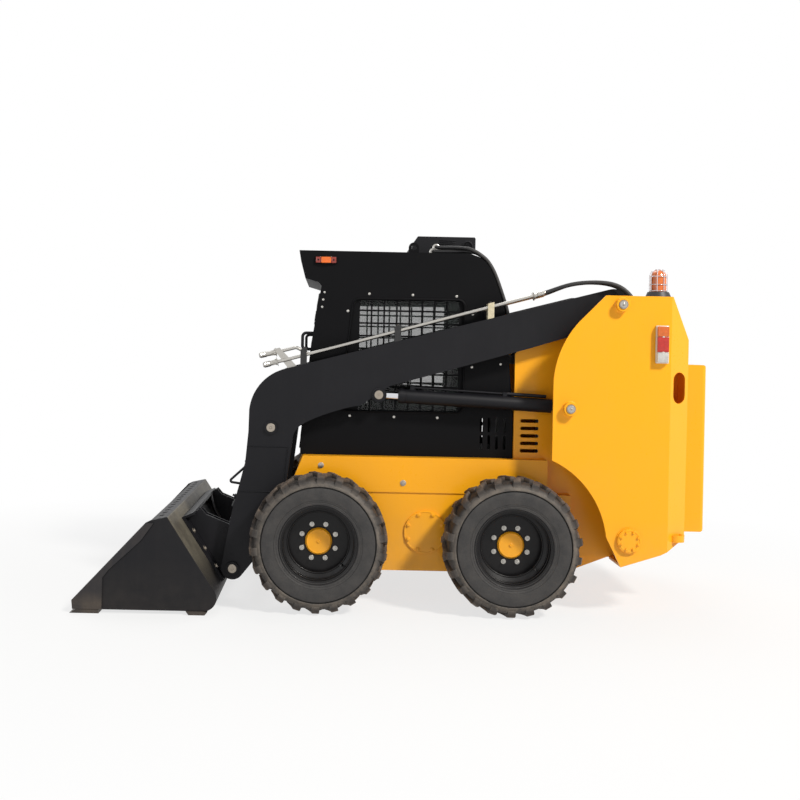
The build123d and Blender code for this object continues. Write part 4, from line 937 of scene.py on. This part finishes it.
# %% Cooling unit
UNIT_Y = 0.300
VENT = Vector((-0.400, UNIT_Y, 2.100))
grille = bmesh.new()
for step in range(7):
    z = 2.062 + step * 0.0115
    block(grille, (-0.330, UNIT_Y - 0.002, z), (-0.235, UNIT_Y + 0.006, z + 0.005), 0.0015)
place(grille, lathe(((0.034, 0), (0.034, 0.006), (0.030, 0.009), (0.026, 0.009), (0.024, 0.004),
                     (0.024, 0)), 40, closed=True), VENT, LEFT)
for reach in (0.018, 0.012, 0.006):
    place(grille, round_ring(reach, 0.0016, 32, 6, 0.004), VENT, LEFT)
for turn in (0, math.pi / 3, 2 * math.pi / 3):
    reach = Vector((math.cos(turn), 0, math.sin(turn))) * 0.025
    middle = VENT + LEFT * 0.004
    place(grille, bent_wire((middle - reach, middle + reach), 0.0016, 6))
both_sides(grille)
for step in range(9):
    y = -0.22 + 0.055 * step
    add_slab(grille, ((-0.0705, 2.058), (-0.0705, 2.098), (-0.0665, 2.098), (-0.0665, 2.058)),
             y - 0.015, 0.030, 0.001)
made_piece(grille, "cooler_grille", "black_satin")
bm = bmesh.new()
thread = lathe(((0.0112, 0), (0.0145, 0), (0.0150, 0.004), (0.0136, 0.008), (0.0150, 0.012),
                (0.0136, 0.016), (0.0112, 0.016)), 24, closed=True)
for x, z in ((-0.213, 2.088), (-0.195, 2.062)):
    place(bm, hex_bolt(0.027, 0.016), (x, UNIT_Y, z), LEFT)
    place(bm, thread, (x, UNIT_Y + 0.014, z), LEFT)
made_piece(bm, "cooler_unions", "zinc_steel")
print("cooling unit dressed")

# %% Door wiper
DOOR_LEAN = 0.12
DOOR_OUT = Vector((1, 0, DOOR_LEAN))


def on_door(across, height, proud):
    """A point on the leaning door, some way proud of its face."""
    face = Vector((0.525 + (1.352 - height) * DOOR_LEAN, across, height))
    return face + DOOR_OUT.normalized() * proud


ARM = ((0, 1.800, 0.014), (-0.02, 1.74, 0.017), (-0.12, 1.52, 0.012), (-0.16, 1.44, 0.006))
BLADE = ((-0.08, 1.62, -0.004), (-0.24, 1.26, -0.004))
bm = bmesh.new()
place(bm, lathe(((0, 0), (0.016, 0), (0.016, 0.012), (0.010, 0.018), (0, 0.018)), 24),
      on_door(0.0, 1.800, 0.001), DOOR_OUT)
place(bm, bent_wire([on_door(*point) for point in ARM], 0.0045, 10))
place(bm, bent_wire([on_door(*point) for point in BLADE], 0.0055, 8))
for height in (1.392, 1.272):
    place(bm, hex_bolt(0.010, 0.004), on_door(-0.355, height, 0.015), DOOR_OUT)
made_piece(bm, "door_wiper", "grip_plastic", "cab_door")
print("door wiper made")

# %% [markdown]
# ## Seat and controls
#
# A foam seat is a crowned block: its middle swells, its edges pull in, and sewn channels cross it.
# Cloth with pressure would swell a block in the same way, but these cushions are only seen through
# mesh and glass, so each is a bevelled block, divided finely, and then every point is moved by what
# the foam does there.

# %% Seat
def cushion(name, width, depth, thick, matrix, channels):
    """A padded cushion about its own middle: crowned, waisted at its sides, with sewn channels."""
    bm = bmesh.new()
    bmesh.ops.create_cube(bm, size=1.0)
    bmesh.ops.scale(bm, verts=bm.verts, vec=(depth, width, thick))
    bmesh.ops.bevel(bm, geom=bm.edges[:], offset=thick * 0.38, segments=5, profile=0.5,
                    affect="EDGES", material=-1)
    for cuts in range(3):
        long_edges = [e for e in bm.edges if e.calc_length() > 0.024]
        bmesh.ops.subdivide_edges(bm, edges=long_edges, cuts=1, use_grid_fill=True)
    for vert in bm.verts:
        u, v, w = 2 * vert.co.x / depth, 2 * vert.co.y / width, 2 * vert.co.z / thick
        crown = (1 - u * u) * (1 - v * v)
        groove = min(sum(math.exp(-((u - channel) / 0.035) ** 2) for channel in channels), 1.0)
        if w > 0:
            swell = 0.02 + 0.05 * crown * w - 0.055 * groove * (abs(v) < 0.92)
            vert.co.z += thick * swell * w
        pull = 0.016 * (1 - abs(w)) * (1 - 0.4 * abs(u * v))
        vert.co.x -= math.copysign(pull, vert.co.x) * (abs(u) > 0.9)
        vert.co.y -= math.copysign(pull, vert.co.y) * (abs(v) > 0.9)
    bm.transform(matrix)
    piece = made_piece(bm, name, "seat_vinyl", degrees=None)
    return piece


lean = math.pi / 2 + math.atan2(0.070, 0.550)
low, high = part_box("seat_cushions")
print("room for the cushions:", [round(v, 3) for v in (*low, *high)])
pad = cushion("seat_pad", 0.462, 0.440, 0.100, Matrix.Translation((-0.155, 0, 1.166)),
              (-0.45, 0.0, 0.45))
cushion("seat_back", 0.440, 0.500, 0.076,
        Matrix.Translation((-0.382, 0, 1.408)) @ Matrix.Rotation(-lean, 4, "Y"), (-0.5, 0.0, 0.5))
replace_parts(pad, "seat_cushions")
bm = bmesh.new()
for y in (0.236, -0.236):
    place(bm, bent_wire(((-0.340, y, 1.128), (-0.300, y, 1.170), (-0.18, y * 0.98, 1.150),
                         (-0.16, y * 0.96, 1.130)), 0.009, 8))
made_piece(bm, "belt_anchors", "grip_plastic", degrees=60)
print("seat pad faces:", len(pad.data.polygons))

# %% Levers and mat
LEVER_X = 0.090
low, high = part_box("controls")
bellows = [(0.0, 0.0)]
for step in range(8):
    reach = 0.040 - 0.0034 * step
    bellows += [(reach, 0.002 + 0.008 * step), (reach - 0.005, 0.006 + 0.008 * step)]
bellows += [(0.0135, 0.068), (0.0, 0.068)]
thumb_button = lathe(((0, 0), (0.006, 0), (0.006, 0.003), (0.004, 0.005), (0, 0.005)), 16)
bm = bmesh.new()
for y in (0.330, -0.330):
    place(bm, lathe(bellows, 32), (LEVER_X, y, low.z + 0.029))
    for across in (-0.012, 0.012):
        place(bm, thumb_button, (LEVER_X - 0.012, y + across, high.z - 0.006), (-0.4, 0, 1))
made_piece(bm, "lever_boots", "hose_black", degrees=50)
bm = bmesh.new()
block(bm, (0.030, -0.360, 0.8632), (0.500, 0.360, 0.8680), 0.0015)
for step in range(17):
    y = -0.336 + 0.042 * step
    block(bm, (0.045, y - 0.006, 0.8670), (0.485, y + 0.006, 0.8705), 0.0012)
made_piece(bm, "floor_mat", "hose_black")
print("levers and mat made")

# %% [markdown]
# ## Arms, cylinders and pipes
#
# Every pin has a cap that stops it walking out, every cylinder a gland nut and a wiper that keeps
# dirt out, and every pipe ends in a union. They are lathe and bolt work. A weld could be a texture,
# but its puddles catch light from the side, so it is a bar whose thickness swells and shrinks. The
# parts ride on whatever carries them.

# %% Pin caps and welds on the arms
ARM_Y = 0.570
cap = lathe(((0, 0), (0.0250, 0), (0.0250, 0.0030), (0.0235, 0.0045), (0.0085, 0.0045),
             (0.0075, 0.0020), (0.0040, 0.0020), (0.0040, 0.0050), (0, 0.0060)), 36)
for name, body, proud, spots in (
        ("arm_pin_caps", "lift_arm", 0.0118, ((0.123, 1.211), (0.739, 1.010))),
        ("foot_pin_caps", "bucket", 0.0178, ((0.943, 0.198),))):
    bm = bmesh.new()
    for x, z in spots:
        place(bm, cap, (x, ARM_Y + proud, z), LEFT)
    both_sides(bm)
    made_piece(bm, name, "pin_steel", body)


def weld(bm, points, radius=0.0035, pitch=0.009):
    """A weld bead: a bar along a line whose thickness swells at each puddle."""
    line = []
    for start, end in zip(points, points[1:]):
        start, end = Vector(start), Vector(end)
        steps = max(2, int((end - start).length / pitch))
        line += [start.lerp(end, i / steps) for i in range(steps)]
    line.append(Vector(points[-1]))
    bead = bent_wire(line, radius, 8)
    rings = [bead.verts[i:i + 8] for i in range(0, len(bead.verts) - 7, 8)]
    for index, ring in enumerate(rings):
        middle = sum((v.co for v in ring), Vector()) / 8
        for vert in ring:
            vert.co = middle + (vert.co - middle) * (1.12 if index % 2 else 0.88)
    place(bm, bead)


LOW_FRONT, LOW_BACK = (0.668, 0.640), (0.925, 0.640)
HIGH_FRONT, HIGH_BACK = (0.640, 0.900), (0.868, 0.900)
bm = bmesh.new()
for ends in ((LOW_FRONT, LOW_BACK), (HIGH_FRONT, HIGH_BACK), (LOW_FRONT, HIGH_FRONT)):
    weld(bm, [(x, ARM_Y, z) for x, z in ends])
both_sides(bm)
made_piece(bm, "arm_welds", "black_satin", "lift_arm", 60)
print("pin caps and welds made")

# %% Cylinder glands
CYLINDERS = (
    # name, base pin, rod pin, middle y, barrel length, barrel radius, rod radius
    ("lift", (-0.937, 1.162), (0.123, 1.211), 0.535, 0.945, 0.040, 0.022),
    ("tilt", (0.739, 1.010), (0.98945, 0.38430), 0.446, 0.520, 0.034, 0.017),
)


def collar(inner, outer, wide):
    """A turned ring with small chamfers."""
    edge = 0.001
    return lathe(((inner, 0), (outer - edge, 0), (outer, edge), (outer, wide - edge),
                  (outer - edge, wide), (inner, wide)), 48, closed=True)


for kind, base, eye, middle_y, barrel, outer, rod in CYLINDERS:
    way = Vector((eye[0] - base[0], 0, eye[1] - base[1])).normalized()
    up = Vector((-way.z, 0, way.x))
    if up.z < 0:
        up = -up
    scraper = lathe(((rod + 0.0008, 0), (rod + 0.009, 0), (rod + 0.008, 0.003),
                     (rod + 0.0008, 0.005)), 36, closed=True)
    for name, side in (("left", 1), ("right", -1)):
        body = f"{kind}_barrel_{name}_body"
        start = Vector((base[0], side * middle_y, base[1]))
        bm = bmesh.new()
        for reach, proud, wide in ((barrel - 0.026, 0.0035, 0.018), (barrel - 0.044, 0.001, 0.004),
                                   (0.075, 0.001, 0.004)):
            place(bm, collar(outer - 0.004, outer + proud, wide), start + way * reach, way)
        if kind == "tilt":
            for reach in (0.085, barrel - 0.060):
                place(bm, hex_bolt(0.022, 0.012, 0.010),
                      start + way * reach + up * (outer - 0.002), up)
        made_piece(bm, f"{kind}_gland_{name}", "black_satin", body)
        bm = bmesh.new()
        place(bm, scraper, start + way * (barrel - 0.0005), way)
        made_piece(bm, f"{kind}_wiper_{name}", "hose_black", body, 50)
print("glands and wipers on", 2 * len(CYLINDERS), "cylinders")

# %% Pipe unions
COUPLINGS = (
    # y, start and end of each quick coupling
    (0.551, (0.707, 1.390), (0.790, 1.367)), (0.522, (0.717, 1.444), (0.816, 1.422)),
)
PIPES = (
    # y, start and end of each pipe's last straight
    (0.551, (0.678, 1.396), (-0.791, 1.808)), (0.522, (0.530, 1.436), (-0.791, 1.802)),
)


def straight(y, start, end):
    """A pipe's start and end as points, and its unit direction."""
    start, end = Vector((start[0], y, start[1])), Vector((end[0], y, end[1]))
    return start, end, (end - start).normalized()


def boom_top(x):
    """Height of the arm's straight top edge at a station."""
    return 1.352 + (0.655 - x) * 0.26625


sleeve, crimp = [(0.0141, 0.0)], [(0.0122, 0.0)]
for step in range(5):
    sleeve += [(0.0172, 0.001 + 0.006 * step), (0.0160, 0.0045 + 0.006 * step)]
sleeve += [(0.0172, 0.031), (0.0165, 0.034), (0.0141, 0.034)]
for step in range(4):
    z = 0.011 * step
    crimp += [(0.0155, 0.002 + z), (0.0155, 0.008 + z), (0.0140, 0.010 + z)]
crimp += [(0.0122, 0.048)]
metal, dark = bmesh.new(), bmesh.new()
for run in COUPLINGS:
    start, end, way = straight(*run)
    place(metal, lathe(sleeve, 36, closed=True), end - way * 0.040, way)
    place(metal, hex_bolt(0.030, 0.014), start + way * 0.003, way)
    place(dark, lathe(((0, 0), (0.0110, 0), (0.0110, 0.002), (0.009, 0.003), (0, 0.003)), 24),
          end - way * 0.001, way)
for run in PIPES:
    start, end, way = straight(*run)
    place(metal, hex_bolt(0.026, 0.020), end - way * 0.034, way)
    place(metal, lathe(crimp, 32, closed=True), end - way * 0.014, way + Vector((0, 0.03, 0.02)))
made_piece(metal, "pipe_unions", "zinc_steel", "lift_arm")
for x in (0.560, 0.020, -0.513):
    place(dark, hex_bolt(0.013, 0.008), (x, 0.5365, boom_top(x) + 0.0895), (0.257, 0, 0.966))
made_piece(dark, "clamp_bolts", "cast_iron", "lift_arm")
print("unions on", len(PIPES), "pipes")

# %% [markdown]
# ## Bucket and coupler
#
# The bucket's welds and the plough bolts of its edge show how it is built. The coupler locks with
# two levers whose wedges go down into the bucket. The levers are bent from round bar, so they are
# bent here too. All of it is placed by how far up and how far behind the sloping back wall it is.

# %% Bucket welds and edge bolts
SIDE_SEAM = ((1.352, 0.497), (1.420, 0.400), (1.590, 0.240), (1.625, 0.195), (1.625, 0.026))
WALL_SEAM = ((1.640, 0.021), (1.090, 0.036), (1.075, 0.075), (1.262, 0.505))
bm = bmesh.new()
for seam, y, *sizes in ((SIDE_SEAM, 0.882, 0.0042), (WALL_SEAM, 0.862, 0.0045, 0.012)):
    for side in (1, -1):
        weld(bm, [(x, side * y, z) for x, z in seam], *sizes)
weld(bm, ((1.640, -0.855, 0.0215), (1.640, 0.855, 0.0215)), 0.004, 0.014)
made_piece(bm, "bucket_welds", "bucket_black", "bucket", 60)
plough_bolt = lathe(((0, 0), (0.015, 0), (0.014, 0.002), (0.009, 0.0035), (0, 0.0040)), 24)
bm = bmesh.new()
for step in range(11):
    place(bm, plough_bolt, (1.700, -0.80 + 0.16 * step, 0.0198))
made_piece(bm, "edge_bolts", "pin_steel", "bucket")
print("bucket welded and bolted")

# %% Coupler levers and bolts
WALL = math.atan2(0.420, 0.276)
WALL_OUT = Vector((-math.sin(WALL), 0, math.cos(WALL)))
WALL_UP = Vector((math.cos(WALL), 0, math.sin(WALL)))


def on_wall(up, back, y):
    """A point measured up the bucket's back wall from its heel, and straight back from it."""
    return Vector((1.0, y, 0.112)) + WALL_UP * up + WALL_OUT * back


pivot = lathe(((0, 0), (0.030, 0), (0.030, 0.014), (0.026, 0.018), (0.012, 0.018), (0.012, 0.026),
               (0, 0.026)), 28)
levers, bolts = bmesh.new(), bmesh.new()
for y in (0.30, -0.30):
    grip = [(0.140, 0.030, y), (0.330, 0.040, y), (0.395, 0.055, y + math.copysign(0.03, y)),
            (0.420, 0.060, y + math.copysign(0.10, y))]
    bars = [(grip, 0.011, 12), (((0.040, 0.030, y), (0.130, 0.030, y)), 0.014, 12)]
    bars += [(((up, 0.026, y - 0.03), (up, 0.026, y + 0.03)), 0.010, 8) for up in (0.06, 0.11)]
    for points, radius, sides in bars:
        place(levers, bent_wire([on_wall(*point) for point in points], radius, sides))
    place(levers, pivot, on_wall(0.140, 0.014, y), WALL_OUT)
made_piece(levers, "coupler_levers", "worn_steel", "bucket")
bolt = hex_bolt(0.020, 0.011)
for row, rises in (((-0.16, 0.0, 0.16), (0.05, 0.25)), ((0.548, -0.548), (0.10, 0.22, 0.34))):
    for y in row:
        for up in rises:
            place(bolts, bolt, on_wall(up, 0.0155, y), WALL_OUT)
made_piece(bolts, "coupler_bolts", "pin_steel", "bucket")
print("coupler dressed")

# %% [markdown]
# ## Rear door, engine cover and frame bolts
#
# The rear door has a screen behind its louvres and a paddle latch in a recess. Fins stand on the
# engine cover where air leaves, and a few bolts hold the side frames. A screen could be a flat
# sheet with painted holes, but light falls through a real one, so it is two layers of thin wires.

# %% Louvre screen and latch
SCREEN_PITCH, SCREEN_WIRE = 0.014, 0.0013
bm = bmesh.new()
for step in range(45):
    y = -0.308 + SCREEN_PITCH * step
    place(bm, bent_wire([(-1.7858, y, z) for z in (0.835, 1.285)], SCREEN_WIRE, 5))
for step in range(33):
    z = 0.836 + SCREEN_PITCH * step
    place(bm, bent_wire([(-1.7845, y, z) for y in (-0.312, 0.312)], SCREEN_WIRE, 5))
made_piece(bm, "louvre_screen", "grip_plastic", "rear_door_body", 60)
bm = bmesh.new()
block(bm, (-1.7990, -0.383, 0.574), (-1.7935, -0.337, 0.706), 0.0020)
block(bm, (-1.7995, -0.376, 0.600), (-1.7970, -0.344, 0.664), 0.0012)
place(bm, lathe(((0, 0), (0.008, 0), (0.008, 0.002), (0.0065, 0.003), (0, 0.003)), 20),
      (-1.7965, -0.360, 0.686), (-1, 0, 0))
made_piece(bm, "door_latch", "grip_plastic", "rear_door_body")
print("rear door dressed")

# %% Engine cover
FIN_BACK, FIN_FRONT, HANDLE_X = -1.480, -1.180, -1.575


def on_hood(x, rise):
    """A point over the engine cover's sloping top, as (x, z)."""
    return x, 1.500 + (x + 0.735) * 0.0753 + rise


bm = bmesh.new()
for step in range(15):
    y = -0.210 + 0.030 * step
    add_slab(bm, (on_hood(FIN_BACK, -0.004), on_hood(FIN_FRONT, -0.004), on_hood(FIN_FRONT, 0.010),
                  on_hood(FIN_BACK, 0.010)), y - 0.004, 0.008, 0.0025)
for x in (FIN_BACK - 0.012, FIN_FRONT + 0.012):
    foot, top = on_hood(x, -0.006)[1], on_hood(x, 0.014)[1]
    block(bm, (x - 0.010, -0.235, foot), (x + 0.010, 0.235, top), 0.003)
made_piece(bm, "cover_fins", "black_satin", "hood_body")
bm = bmesh.new()
half = [(-0.07, -0.002), (-0.07, 0.020), (-0.055, 0.030)]
loop = [(HANDLE_X, y, on_hood(HANDLE_X, rise)[1])
        for y, rise in half + [(-y, rise) for y, rise in reversed(half)]]
place(bm, bent_wire(loop, 0.006, 12))
made_piece(bm, "cover_handle", "zinc_steel", "hood_body", 60)
print("engine cover dressed")

# %% Frame bolts and round covers
bm = bmesh.new()
for x, z in ((0.447, 0.797), (-0.029, 0.704)):
    place(bm, hex_bolt(0.020, 0.010), (x, 0.548, z), LEFT)
both_sides(bm)
made_piece(bm, "frame_bolts", "pin_steel")
ROUND_COVERS = (
    # x, y, z, radius, bolt circle, bolt size
    (-0.162, 0.5480, 0.423, 0.122, 0.122 - 0.015, 0.016),
    (-1.284, 0.7630, 0.433, 0.062, 0.062 - 0.011 * 1.15, 0.011),
)
bm = bmesh.new()
for x, y, z, radius, bolts_at, across in ROUND_COVERS:
    place(bm, round_ring(radius - 0.004, 0.005, 72, rise=0.0025), (x, y, z), LEFT)
    for turn in EIGHTHS:
        at = (x + bolts_at * math.cos(turn), y, z + bolts_at * math.sin(turn))
        place(bm, hex_bolt(across, 0.010), at, LEFT, turn)
both_sides(bm)
made_piece(bm, "cover_rims", "orange_gloss")
print("frame bolts and round covers made")
